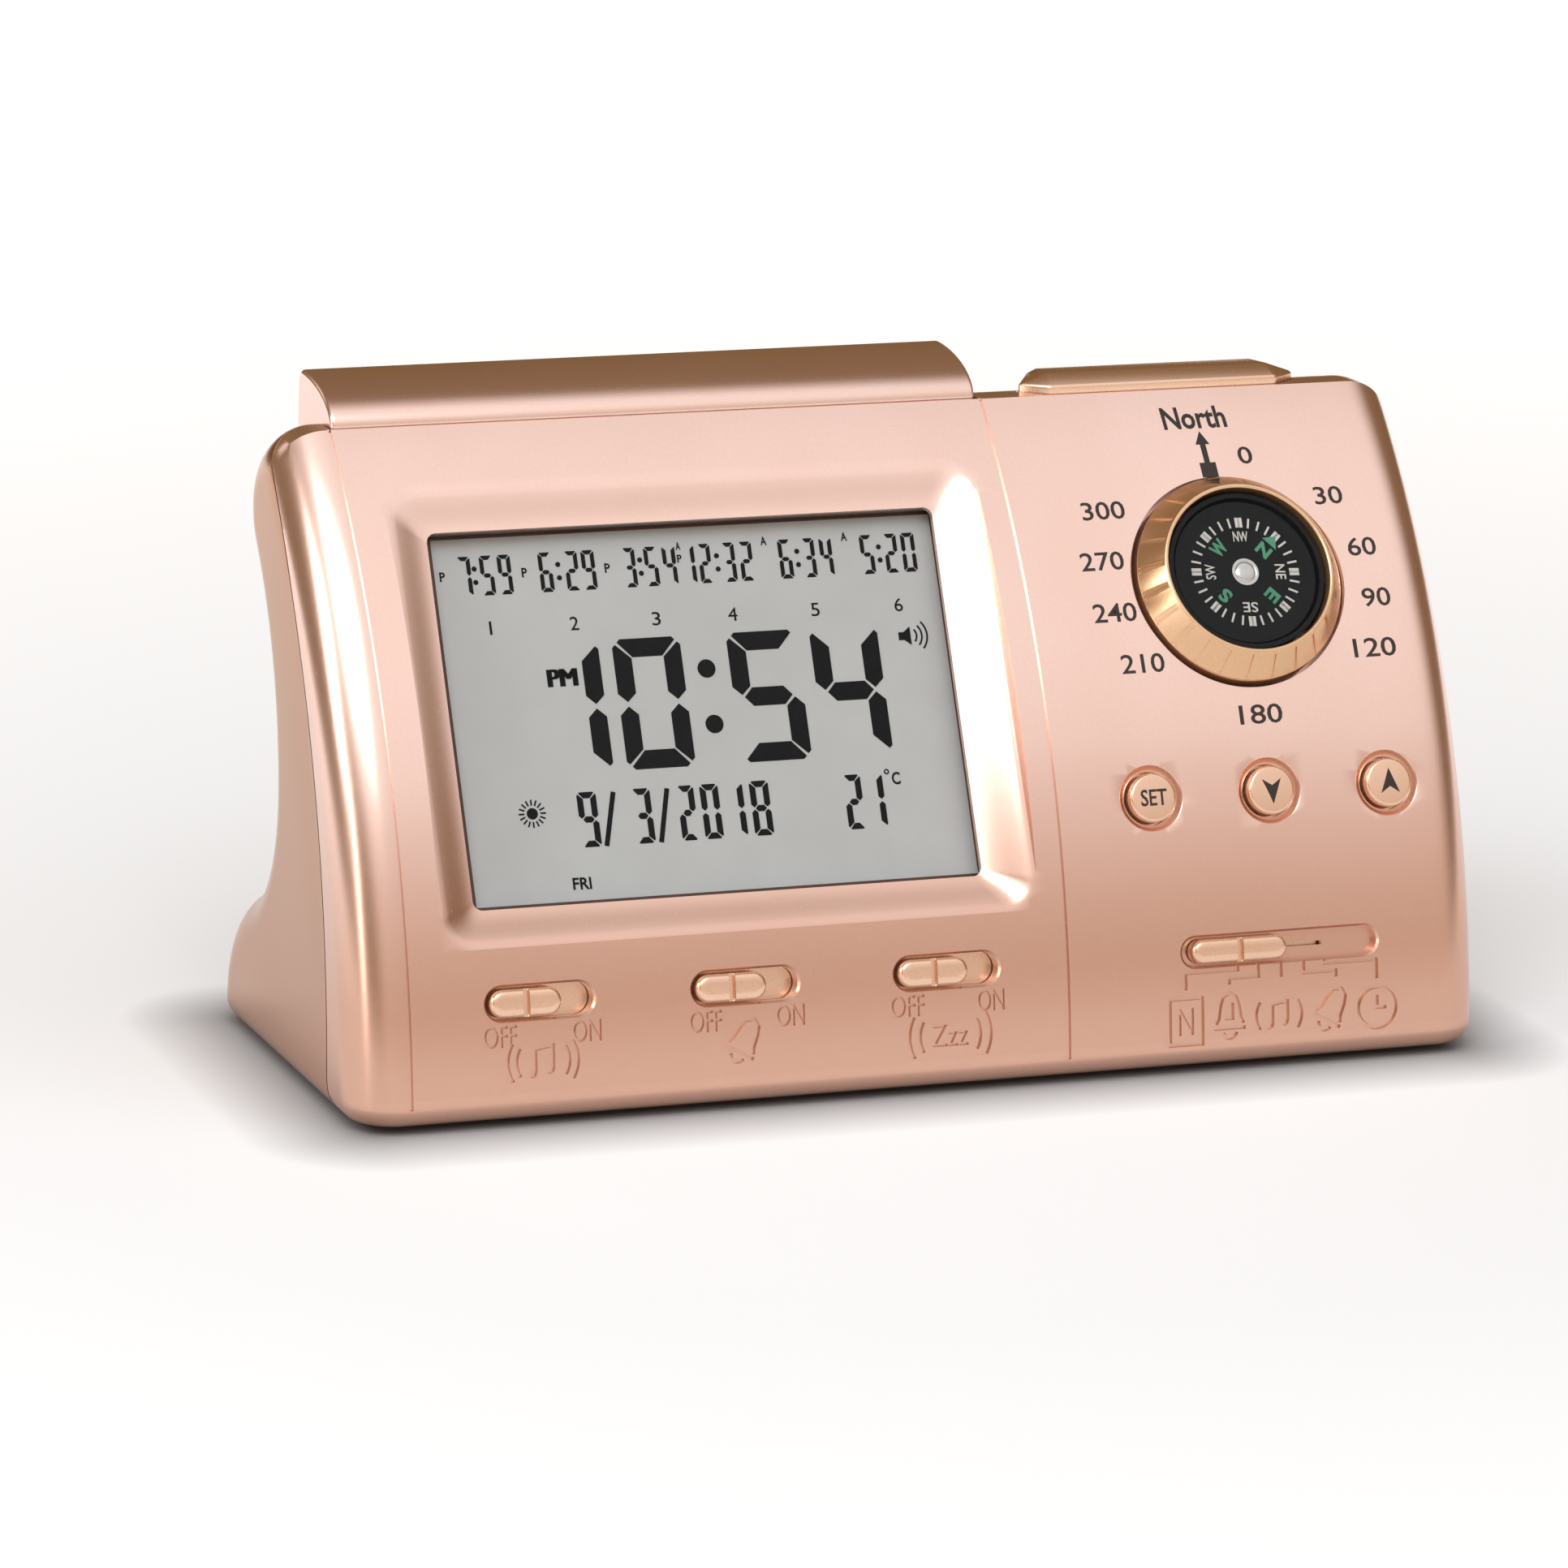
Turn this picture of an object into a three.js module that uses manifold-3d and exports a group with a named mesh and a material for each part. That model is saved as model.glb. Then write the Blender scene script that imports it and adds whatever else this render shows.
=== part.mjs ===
// A desk alarm clock with a leaning front panel, a large display, a compass with a turning
// bezel, a snooze bar along the top and a row of slide switches.
// Millimetres. X runs along the front, Y from the front to the back, Z up from the table.
import * as THREE from "three";
import { ConvexGeometry } from "three/addons/geometries/ConvexGeometry.js";
import { mergeVertices } from "three/addons/utils/BufferGeometryUtils.js";
import Module from "manifold-3d";

const wasm = await Module();
wasm.setup();

// The case.
const caseWidth = 150;
const caseDepth = 60;
const caseTop = 80; // height of the flat strip along the top
const floorLift = 1; // the feet hold the case this far off the table
const wall = 2;
const endRound = 6.5; // rounding all round the two end faces
const bottomRound = 2.5;

// The front panel is an arc that stands upright below the table and leans back as it rises
// to the flat strip along the top.
const stripDepth = 2.97;
const frontDrop = 8.5; // the arc is upright this far below the table
const frontLowest = 3.5; // the panel reaches furthest forward at this height

// The back wall: a rounded top edge, a waist that is drawn in, and a foot that sweeps out.
const topRearRadius = 11;
const waistRadius = 43.5;
const waistShare = 0.4375; // height of the waist as a share of the case's
const waistInsetShare = 0.35333; // the waist stands this share of the depth in front of the foot
const footHeight = 3.3; // the foot reaches furthest back at this height

// The joint between the front housing and the rear cover, seen from the side.
const partTopLag = 2.9; // it meets the top this far behind the flat strip
const partUpright = 3; // the joint is upright at this height
const partInset = 11.9; // it stands this far behind the front there
const partRound = 3.5;
const partLip = 0.8; // the rear cover's tongue under the front housing
const partTongue = 6; // the tongue ends this far behind the front

// Fits, and the overrun of every cut.
const clearance = 0.3;
const overrun = 2;
const weld = 1e-3;
const roundSides = 28;
const smallSides = 12;
const fullTurn = 2 * Math.PI;

// The screen window is a flat rectangle at the bottom of a recess with sloping sides.
const windowShares = [-0.16533, 0.58875]; // its middle, across the case and up it
const windowSizeShares = [0.44267, 0.59125];
const windowSink = 4.7; // depth of the window's middle below the panel
const windowTilt = 0.0056; // the window leans back this much less than the panel
const windowCorner = 1.2;
const windowLip = 0.8;
const recessSide = 5; // width of the sloping sides
const recessCorner = 4;
const recessWall = 1.6;

// The display behind the window.
const lensThick = 1.2;
const glassThick = 2.8;
const glassBorder = 1.5; // the lens and the glass pass the window by this much
const backlightThick = 3;
const backlightTrim = 3.2; // the backlight stops short of the glass at the bottom
const frameRim = 2.2; // wall of the display frame round the glass
const frameBack = 1.2;
const stripThick = 2; // rubber connector strip between the glass and the board
const boardThick = 1.6;
const boardTrim = 2; // the board is this much lower than the frame at its top edge
const chipSize = 9;
const chipThick = 1.8;
const crystalRadius = 1.5;
const crystalLength = 6;

// The compass.
const compassShares = [0.31167, 0.73625];
const bezelRadius = 13.9;
const bezelInnerRadius = 10.8;
const bezelTopRadius = 11.4;
const bezelRise = 4.2;
const bezelShoulder = 0.6; // the bezel's cone starts this far above the panel
const wellDepth = 6.5;
const wellWall = 1.5;
const cupRadius = 10.4;
const cupWall = 0.6;
const cupFloor = 1;
const domeThick = 0.8;
const domeInset = 0.2; // the dome's crown lies this far below the bezel's rim
const cardThick = 0.5;
const cardDrop = 0.6; // the card floats this far below the dome
const hubRadius = 1.4;
const hubRise = 0.35;
const pinRadius = 0.6;

// The three round push buttons.
const buttonPitchShare = 0.10733;
const buttonHeightShare = 0.430625;
const buttonRadius = 3.1;
const buttonRise = 1;
const buttonTravel = 0.8;
const flangeExtra = 1.2; // the hidden flange passes its opening by this much
const flangeThick = 0.9;
const dishRadius = 4.3;
const dishDepth = 0.7;
const tactSize = 6;
const tactThick = 3.4;

// The three small slides and the long mode slide share one row and one board.
const slideHeightShare = 0.195;
const slideShares = { chime: -0.34133, alarm: -0.16467, snooze: 0.012 };
const slotLength = 13.8;
const slotHeight = 4.1;
const knobLength = 9.2;
const knobRise = 0.9;
const notchWidth = 0.8;
const notchDepth = 0.6;
const slideSwitchLength = 9;
const slideSwitchHeight = 4;
const slideSwitchThick = 3.6;
const modeShare = 0.31133;
const modeSlotLength = 26.6;
const modeSlotHeight = 3.7;
const modeSlotDepth = 1.3;
const modeKnobLength = 12.9;
const modeSlotEnd = 1.1; // free length of the slot at each end of the knob's travel
const modeStemLength = 4;
const modeStemHeight = 0.9;
const modeSwitchLength = 19;
const boardMargin = 2;

// The snooze bar and the small key beside it stand in rebates in the top edge.
const barShares = [-0.45, 0.11667]; // its two ends, as shares of the case's width
const barLead = 2.306; // the bar's foot stands this far in front of the rounding's middle
const barRise = 5;
const barSweep = 12.5; // the bar's front curves back over this depth
const barTopDepth = 1.5;
const barBackDrop = 2.5;
const barSkirt = 8; // the bar's back wall reaches this far below the top strip
const barWall = 1.5;
const barTravel = 1.2;
const rebateDepth = 2;
const rebateFloor = 1.5;
const legWidth = 5;
const legDepth = 2.4;
const legBack = 6.6; // legs and posts stand this far behind the bar's foot
const barbReach = 0.8;
const barbThick = 1;
const springRadius = 1.8;
const springPad = 0.2;
const keyShares = [0.162, 0.41467];
const keyTip = 3.4; // length of the pointed ends
const keyRidgeIn = 4;
const keyBand = 1; // height of the upright band round the key
const keyRise = 2.35;
const keyRidgeBack = 2.4;
const keyDepth = 8.4;
const keySkirt = 6; // the key's sides reach this far below the top strip
const keyRearDrop = 0.35; // fall of the key's top towards the back
const keyRearIn = 1.5;
const keyTravel = 1;
const keyPostDepth = 2;
const topBoardDrop = 9.2; // the small board hangs this far below the top strip
const topSwitchThick = 1.6;
const topSwitchSize = 3.6;

// The loudspeaker behind the grille in the back wall.
const speakerShare = 0.28;
const speakerRadius = 16;
const speakerRim = 1.5;
const speakerBasketRadius = 8.6;
const speakerDepth = 6.5;
const magnetRadius = 8;
const magnetThick = 4.5;
const coneThick = 0.7;
const coneDepth = 4;
const collarWall = 1.5;
const grillePitch = 3.6;
const grilleSlot = 1.6;
const grilleReachShare = 0.84; // the slots fill this share of the speaker's radius
const grilleSlots = 7;

// Two batteries lie in a bay in the base, over a door that slides out at the back.
const batteryRadius = 5.25;
const batteryLength = 44.5;
const batteryTip = 1;
const batteryTipRadius = 1.9;
const batteries = 2;
const contactThick = 0.6;
const contactHeight = 8;
const springLength = 3.4;
const springWideRadius = 3.6;
const springNarrowRadius = 1.8;
const bayInset = 14.5; // the bay starts this far from the case's end
const bayRear = 12.6; // the bay ends this far in front of the foot
const bayWall = 1.2;
const doorThick = 1.2;
const doorLap = 1.6; // the door passes the bay by this much
const doorUpstand = 7; // height of the door's rear edge
const doorUpstandDepth = 6;

// Screws, feet and the fine lines in the panel.
const screwInset = 7.5; // distance from the case's end
const screwShares = [0.15, 0.775]; // heights as shares of the case's
const screwColumnRadius = 4.2;
const screwSeat = 5; // the head sits this far behind the joint
const screwBite = 4;
const screwRadius = 1.3;
const screwHeadRadius = 2.6;
const screwHeadThick = 2;
const footRadius = 4;
const footSink = 0.8;
const footInset = 8; // distance from the case's end
const footFrontInset = 16;
const footBackInset = 10;
const lineWidth = 0.4;
const lineDepth = 0.35;

// Values that follow from those above.
const halfDepth = caseDepth / 2;
const caseHalf = caseWidth / 2;
const waistHeight = waistShare * caseTop;
const waistInset = waistInsetShare * caseDepth;
const waistY = halfDepth - waistInset;
const sweepRise = waistHeight - footHeight;
const sweepRadius = (waistInset ** 2 + sweepRise ** 2) / (4 * waistInset);
const topRearZ = caseTop - topRearRadius;
const topRearReach = Math.sqrt(
  (waistRadius + topRearRadius) ** 2 - (topRearZ - waistHeight) ** 2,
);
const topRearY = waistY + waistRadius - topRearReach;
const frontReach = topRearY - stripDepth + halfDepth;
const frontLowRise = frontLowest + frontDrop;
const frontRises = (caseTop + frontDrop) ** 2 - frontLowRise ** 2;
const frontFlat = (frontReach + frontRises / frontReach) / 2;
const frontRadius = Math.hypot(frontFlat, frontLowRise);
const frontCentreY = frontFlat - halfDepth;
const partFoot = partInset - halfDepth;
const partReach = topRearY + partTopLag - partFoot;
const partRadius = (partReach ** 2 + (caseTop - partUpright) ** 2) / (2 * partReach);
const barFront = topRearY - barLead;
const [windowCentreX, compassX, modeX, speakerX] = [
  windowShares[0], compassShares[0], modeShare, speakerShare,
].map((share) => share * caseWidth);
const [windowCentreZ, compassZ, buttonZ, slideZ] = [
  windowShares[1], compassShares[1], buttonHeightShare, slideHeightShare,
].map((share) => share * caseTop);
const windowWidth = windowSizeShares[0] * caseWidth;
const windowHeight = windowSizeShares[1] * caseTop;
const [barLeft, barRight, keyLeft, keyRight] = [...barShares, ...keyShares]
  .map((share) => share * caseWidth);
const buttonPitch = buttonPitchShare * caseWidth;
const slideXs = Object.fromEntries(
  Object.entries(slideShares).map(([name, share]) => [name, share * caseWidth]),
);
const bayLeft = bayInset - caseHalf;
const [screwLowZ, screwHighZ] = screwShares.map((share) => share * caseTop);
const screwX = caseHalf - screwInset;
const footX = caseHalf - footInset;
const footFrontY = footFrontInset - halfDepth;
const footBackY = halfDepth - footBackInset;
const leftLineX = barLeft - lineWidth;
const seamX = barRight + lineWidth;

const looks = {
  paint: { color: 0xdcae92, roughness: 0.32, metalness: 0.7 },
  accent: { color: 0xe2b496, roughness: 0.3, metalness: 0.7 },
  bezel: { color: 0xc08f57, roughness: 0.3, metalness: 0.8 },
  clear: { color: 0xe8eeee, roughness: 0.05, metalness: 0 },
  lcd: { color: 0xb5b8b6, roughness: 0.15, metalness: 0 },
  white: { color: 0xe9e6de, roughness: 0.5, metalness: 0 },
  black: { color: 0x121413, roughness: 0.5, metalness: 0 },
  board: { color: 0x2d6b3a, roughness: 0.5, metalness: 0 },
  steel: { color: 0xb9bcc0, roughness: 0.3, metalness: 1 },
  brass: { color: 0xc9a24a, roughness: 0.3, metalness: 1 },
  rubber: { color: 0x2a2a2b, roughness: 0.9, metalness: 0 },
  paper: { color: 0x3a3733, roughness: 0.95, metalness: 0 },
  cell: { color: 0x2f4b3c, roughness: 0.35, metalness: 0.4 },
};

const clock = new THREE.Group();

// Adds one named piece to the clock, or to the group that carries it.
function addPart(name, geometry, look, parent = clock) {
  const mesh = new THREE.Mesh(geometry, new THREE.MeshStandardMaterial(looks[look]));
  mesh.name = name;
  parent.add(mesh);
  return mesh;
}

// A group placed by a matrix.
function addGroup(frame) {
  const group = new THREE.Group();
  group.applyMatrix4(frame);
  clock.add(group);
  return group;
}

function solidFrom(geometry, frame) {
  const bare = geometry.index ? geometry.toNonIndexed() : geometry.clone();
  bare.deleteAttribute("normal");
  bare.deleteAttribute("uv");
  if (frame) bare.applyMatrix4(frame);
  const merged = mergeVertices(bare, weld);
  const mesh = new wasm.Mesh({
    numProp: 3,
    vertProperties: merged.attributes.position.array,
    triVerts: new Uint32Array(merged.index.array),
  });
  return new wasm.Manifold(mesh);
}

function geometryFrom(solid) {
  const { vertProperties, triVerts } = solid.getMesh();
  const geometry = new THREE.BufferGeometry();
  geometry.setAttribute("position", new THREE.BufferAttribute(vertProperties, 3));
  geometry.setIndex(new THREE.BufferAttribute(triVerts, 1));
  geometry.computeVertexNormals();
  return geometry;
}

const joined = (solids) => solids.reduce((whole, solid) => whole.add(solid));
const cutBy = (body, solids) => solids.reduce((left, solid) => left.subtract(solid), body);

function box(x0, x1, y0, y1, z0, z1) {
  const middle = [(x0 + x1) / 2, (y0 + y1) / 2, (z0 + z1) / 2];
  return new THREE.BoxGeometry(x1 - x0, y1 - y0, z1 - z0).translate(...middle);
}

// A box that is centred on X and Y.
const slab = (width, height, z0, z1) =>
  box(-width / 2, width / 2, -height / 2, height / 2, z0, z1);

// A round post along Z.
function post(radius, z0, z1, sides = roundSides) {
  const post = new THREE.CylinderGeometry(radius, radius, z1 - z0, sides);
  return post.rotateX(Math.PI / 2).translate(0, 0, (z0 + z1) / 2);
}

// A round post along Y.
const postY = (radius, x, y0, y1, z, sides = roundSides) =>
  post(radius, 0, y1 - y0, sides).rotateX(-Math.PI / 2).translate(x, y0, z);

// A turned piece along Z from [radius, height] pairs.
function turned(pairs, sides = roundSides) {
  const profile = pairs.map(([radius, height]) => new THREE.Vector2(radius, height));
  return new THREE.LatheGeometry(profile, sides).rotateX(Math.PI / 2);
}

// An outline of [y, z] pairs, extruded along X.
function alongX(pairs, x0, x1) {
  const shape = new THREE.Shape(pairs.map(([y, z]) => new THREE.Vector2(y, z)));
  const geometry = new THREE.ExtrudeGeometry(shape, { depth: x1 - x0, bevelEnabled: false });
  const turn = new THREE.Matrix4().makeBasis(
    new THREE.Vector3(0, 1, 0),
    new THREE.Vector3(0, 0, 1),
    new THREE.Vector3(1, 0, 0),
  );
  return geometry.applyMatrix4(turn).translate(x0, 0, 0);
}

// Points on an arc, both ends included.
function arc(centreY, centreZ, radius, from, to, steps) {
  return Array.from({ length: steps + 1 }, (_, i) => {
    const angle = from + ((to - from) * i) / steps;
    return [centreY + radius * Math.cos(angle), centreZ + radius * Math.sin(angle)];
  });
}

// A rectangle with round corners, centred, as [x, y] pairs.
function roundedOutline(width, height, radius, steps = 3) {
  const x = width / 2 - radius;
  const y = height / 2 - radius;
  const corners = [[x, y], [-x, y], [-x, -y], [x, -y]];
  return corners.flatMap(([cx, cy], i) =>
    arc(cx, cy, radius, (i * Math.PI) / 2, ((i + 1) * Math.PI) / 2, steps));
}

// A plate with round corners along Z.
function roundedPlate(width, height, radius, z0, z1, steps = 3) {
  const points = roundedOutline(width, height, radius, steps);
  const shape = new THREE.Shape(points.map(([x, y]) => new THREE.Vector2(x, y)));
  const geometry = new THREE.ExtrudeGeometry(shape, { depth: z1 - z0, bevelEnabled: false });
  return geometry.translate(0, 0, z0);
}

const frontLean = (z) => Math.asin((z + frontDrop) / frontRadius);
const frontY = (z) => frontCentreY - frontRadius * Math.cos(frontLean(z));
const partY = (z) => partFoot + partRadius - Math.sqrt(partRadius ** 2 - (z - partUpright) ** 2);

// The frame of a place on the front panel: Z points out of the panel, Y up along it.
function panelFrame(x, z, lean = frontLean(z), sink = 0) {
  const frame = new THREE.Matrix4().makeRotationX(Math.PI / 2 - lean);
  const out = new THREE.Vector3(0, -Math.cos(lean), Math.sin(lean));
  return frame.setPosition(x, frontY(z) - sink * out.y, z - sink * out.z);
}

const windowLean = frontLean(windowCentreZ) - windowTilt;
const windowFrame = new THREE.Matrix4()
  .makeRotationX(Math.PI / 2 - windowLean)
  .setPosition(
    windowCentreX,
    frontY(windowCentreZ) + windowSink / Math.cos(windowLean),
    windowCentreZ,
  );

// The side outline of the case, set in by the given depth, running down to the given height.
function sideProfile(inset, bottom) {
  const low = frontLean(frontLowest);
  const front = frontRadius - inset;
  const high = Math.min(
    Math.asin((caseTop - inset + frontDrop) / front),
    Math.acos((frontCentreY - topRearY) / front),
  );
  const touch = Math.atan2(waistHeight - topRearZ, topRearReach);
  const bend = Math.atan2(-sweepRise, waistInset - 2 * sweepRadius);
  const footY = halfDepth - sweepRadius;
  const panel = arc(frontCentreY, -frontDrop, front, Math.PI - low, Math.PI - high, 12);
  const top = arc(topRearY, topRearZ, topRearRadius - inset, Math.PI / 2, touch, 7);
  const upper = arc(
    waistY + waistRadius, waistHeight, waistRadius + inset, touch + Math.PI, Math.PI, 5,
  );
  const lower = arc(
    waistY + sweepRadius, waistHeight, sweepRadius + inset, Math.PI, fullTurn + bend, 4,
  );
  const foot = arc(footY, footHeight, sweepRadius - inset, bend + Math.PI, 0, 5);
  return [
    [frontCentreY - front * Math.cos(low), bottom],
    ...panel,
    ...top,
    ...upper.slice(1),
    ...lower.slice(1),
    ...foot.slice(1),
    [halfDepth - inset, bottom],
  ];
}

// A closed body through rings of points. The end faces are lists of three places in a ring,
// and an end point, where there is one, closes the end as a fan.
function lofted(rings, endFaces, first, last) {
  const count = rings[0].length;
  const points = rings.flat();
  const faces = [];
  rings.slice(1).forEach((_, ring) => {
    for (let i = 0; i < count; i += 1) {
      const a = ring * count + i;
      const b = ring * count + ((i + 1) % count);
      faces.push(a, a + count, b, b, a + count, b + count);
    }
  });
  const end = (rings.length - 1) * count;
  endFaces.forEach(([a, b, c]) => faces.push(a, c, b, end + a, end + b, end + c));
  if (first) {
    for (let i = 0; i < count; i += 1) {
      const next = (i + 1) % count;
      faces.push(i, next, points.length, end + next, end + i, points.length + 1);
    }
    points.push(first, last);
  }
  const geometry = new THREE.BufferGeometry().setFromPoints(points);
  return geometry.setIndex(faces);
}

// The case's outer form, set in by the given depth.
function caseForm(inset) {
  const round = endRound - inset;
  const halfWidth = caseWidth / 2 - inset;
  const bottom = floorLift + inset;
  const steps = 3;
  const ends = Array.from({ length: steps + 1 }, (_, i) => {
    const angle = (i * Math.PI) / (2 * steps);
    const x = round * (1 - Math.cos(angle)) - halfWidth;
    return [x, sideProfile(inset + round * (1 - Math.sin(angle)), bottom - 2 * endRound)];
  });
  const ring = (x, points) => points.map(([y, z]) => new THREE.Vector3(x, y, z));
  const rings = [
    ...ends.map(([x, points]) => ring(x, points)),
    ...ends.map(([x, points]) => ring(-x, points)).reverse(),
  ];
  const contour = ends[0][1].map(([y, z]) => new THREE.Vector2(y, z));
  const sides = lofted(rings, THREE.ShapeUtils.triangulateShape(contour, []));
  const plan = roundedOutline(2 * halfWidth, caseDepth - 2 * inset, round);
  const shape = new THREE.Shape(plan.map(([x, y]) => new THREE.Vector2(x, y)));
  const edge = inset > 0 ? 0 : bottomRound;
  const base = new THREE.ExtrudeGeometry(shape, {
    depth: caseTop + overrun,
    bevelEnabled: edge > 0,
    bevelThickness: edge,
    bevelSize: edge,
    bevelOffset: -edge,
    bevelSegments: 3,
  });
  return solidFrom(sides).intersect(solidFrom(base.translate(0, 0, bottom + edge)));
}

// Everything that lies in front of the joint between the housing and the cover. A positive
// shift draws it back from the joint.
function frontZone(shift) {
  const top = caseTop + overrun;
  const round = partRound - shift;
  const bend = floorLift + partLip + partRound;
  const steps = 10;
  const line = Array.from({ length: steps + 1 }, (_, i) => {
    const z = top + ((bend - top) * i) / steps;
    return [partY(z) - shift, z];
  });
  const corner = arc(partFoot - partRound, bend, round, 0, -Math.PI / 2, 4);
  const outline = [
    ...line,
    ...corner.slice(1),
    [partTongue - halfDepth - shift, bend - round],
    [partTongue - halfDepth - shift, -overrun],
    [-halfDepth - overrun, -overrun],
    [-halfDepth - overrun, top],
  ];
  const reach = caseWidth / 2 + overrun;
  const well = post(
    bezelRadius + clearance + wellWall + clearance - shift, shift - wellDepth - 2 * wellWall, 0,
  );
  return solidFrom(alongX(outline, -reach, reach)).add(
    solidFrom(well, panelFrame(compassX, compassZ)),
  );
}

// A ring of points of the recess's mouth on the curved panel, or of its flat bottom.
function mouthRing(grow) {
  const width = windowWidth + 2 * (recessSide + grow);
  const height = windowHeight + 2 * (recessSide + grow);
  const along = frontRadius * frontLean(windowCentreZ);
  return roundedOutline(width, height, recessCorner + grow).map(([x, y]) => {
    const lean = (along + y) / frontRadius;
    return new THREE.Vector3(
      windowCentreX + x,
      frontCentreY - frontRadius * Math.cos(lean),
      frontRadius * Math.sin(lean) - frontDrop,
    );
  });
}

const bottomRing = (grow, z) =>
  roundedOutline(windowWidth + 2 * grow, windowHeight + 2 * grow, windowCorner + grow)
    .map(([x, y]) => new THREE.Vector3(x, y, z).applyMatrix4(windowFrame));

// The recess in front of the screen. Its sides run on past the panel, and its bottom runs
// down to the given depth below the window.
function recessForm(grow, bottom, depth) {
  const mouth = mouthRing(grow);
  const ring = bottomRing(grow, bottom);
  const outer = mouth.map((point, i) => point.clone().lerp(ring[i], -1 / 2));
  const rings = [outer, ring];
  if (depth > 0) rings.push(bottomRing(grow, bottom - depth));
  const above = new THREE.Vector3(0, 0, windowHeight / 2).applyMatrix4(windowFrame);
  const below = new THREE.Vector3(0, 0, bottom - depth).applyMatrix4(windowFrame);
  return solidFrom(lofted(rings, [], above, below));
}

const caseOuter = caseForm(0);
const caseInner = caseForm(wall);

// Where each piece of the display stands, along the window's own Z.
const lensFront = -windowLip - clearance;
const lensBack = lensFront - lensThick;
const glassFront = lensBack - clearance;
const glassBack = glassFront - glassThick;
const backlightFront = glassBack - clearance;
const backlightBack = backlightFront - backlightThick;
const frameBackZ = backlightBack - clearance - frameBack;
const boardFront = frameBackZ - clearance;
const glassWidth = windowWidth + 2 * glassBorder;
const glassHeight = windowHeight + 2 * glassBorder;
const frameWidth = glassWidth + 2 * (clearance + frameRim);
const frameHeight = glassHeight + 2 * (clearance + frameRim);

// Where the pieces behind the panel stand, along the panel's own Z.
const flangeTop = -wall - clearance;
const flangeLow = flangeTop - flangeThick;
const tactTop = flangeLow - buttonTravel - clearance;
const tactLow = tactTop - tactThick;
const keyBoardTop = tactLow - clearance;
const slideSwitchTop = flangeLow - clearance;
const slideSwitchLow = slideSwitchTop - slideSwitchThick;
const slideBoardTop = slideSwitchLow - clearance;
const wellFloor = -wellDepth;

const buttonXs = [-1, 0, 1].map((step) => compassX + step * buttonPitch);
const boardHalf = buttonPitch + tactSize / 2 + boardMargin + 2 * screwRadius;
const slideBoardLeft = slideXs.chime - slotLength / 2;
const slideBoardRight = modeX + modeSlotLength / 2 - boardMargin;
const boardPostXs = [-1, 1].map((side) => compassX + side * (buttonPitch / 2));
const slidePostXs = [
  (slideXs.chime + slideXs.alarm) / 2,
  (slideXs.alarm + slideXs.snooze) / 2,
  (slideXs.snooze + modeX - modeSlotLength / 2) / 2,
];

const modeTravel = modeSlotLength - modeKnobLength - 2 * modeSlotEnd;
const modeKnobX = modeX - modeTravel / 2;
const slideTravel = slotLength - knobLength - 2 * clearance;

// The rebates in the top edge, one for the bar and one for the key.
const barBack = barFront + barSweep + barTopDepth;
const keyBack = barFront + keyDepth;
const keyRidgeY = barFront + keyRidgeBack;
const rebateTop = caseTop + overrun;

function barRebate(grow) {
  return solidFrom(box(
    barLeft - clearance - grow, barRight + clearance + grow,
    barFront - clearance - grow, halfDepth,
    caseTop - barSkirt - barTravel - clearance - grow, rebateTop,
  ));
}

// The key's outline from above, with its pointed ends.
function keyOutline(grow) {
  const x0 = keyLeft - grow;
  const x1 = keyRight + grow;
  const y0 = barFront - grow;
  const y1 = keyBack + grow;
  return [
    [x0, keyRidgeY], [x0 + keyTip, y0], [x1 - keyTip, y0],
    [x1, keyRidgeY], [x1 - keyTip, y1], [x0 + keyTip, y1],
  ];
}

function keyRebate(grow) {
  const points = keyOutline(clearance + grow).flatMap(([x, y]) => [
    new THREE.Vector3(x, y, caseTop - keyDepth - grow), new THREE.Vector3(x, y, rebateTop),
  ]);
  return solidFrom(new ConvexGeometry(points));
}

const batteryPitch = 2 * batteryRadius + clearance;
const bayLength = batteryLength + batteryTip + springLength + 2 * contactThick + 4 * clearance;
const bayRight = bayLeft + bayLength;
const bayBack = halfDepth - bayRear;
const bayFront = bayBack - batteries * batteryPitch - clearance;
const bayTop = floorLift + wall + 2 * batteryRadius + 2 * clearance;
const batteryZ = floorLift + wall + clearance + batteryRadius;
const batteryX = bayLeft + 2 * clearance + contactThick + springLength;
const batteryY = (i) => bayFront + clearance + batteryRadius + i * batteryPitch;

// The space of the battery door: a flat plate and an upstand at the back.
function doorZone(grow) {
  const x0 = bayLeft - doorLap - grow;
  const x1 = bayRight + doorLap + grow;
  const plate = box(
    x0, x1, bayFront - doorLap - grow, caseDepth, -overrun, floorLift + doorThick + grow,
  );
  const upstand = box(
    x0, x1, halfDepth - doorUpstandDepth - grow, caseDepth, -overrun,
    floorLift + doorUpstand + grow,
  );
  return solidFrom(plate).add(solidFrom(upstand));
}

const screwPlaces = [
  [-screwX, screwLowZ], [screwX, screwLowZ], [-screwX, screwHighZ], [screwX, screwHighZ],
];
const footPlaces = [
  [-footX, footFrontY], [footX, footFrontY], [-footX, footBackY], [footX, footBackY],
];
const legXs = [barLeft + legWidth, barRight - legWidth];
const springXs = [barLeft + 4 * legWidth, barRight - 4 * legWidth];
const barPostX = (barLeft + barRight) / 2;
const keyX = (keyLeft + keyRight) / 2;
const legY = barFront + legBack;
const topBoardZ = caseTop - topBoardDrop;
const topSwitchTop = topBoardZ + clearance + topSwitchThick;
const topBoardFront = legY - topSwitchSize / 2 - clearance;
const topBoardBack = legY + topSwitchSize / 2;
const topBoardLeft = barPostX - topSwitchSize;
const topBoardRight = keyX + topSwitchSize;
const topStudXs = [barPostX + 2 * topSwitchSize, keyX - 2 * topSwitchSize];
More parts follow.
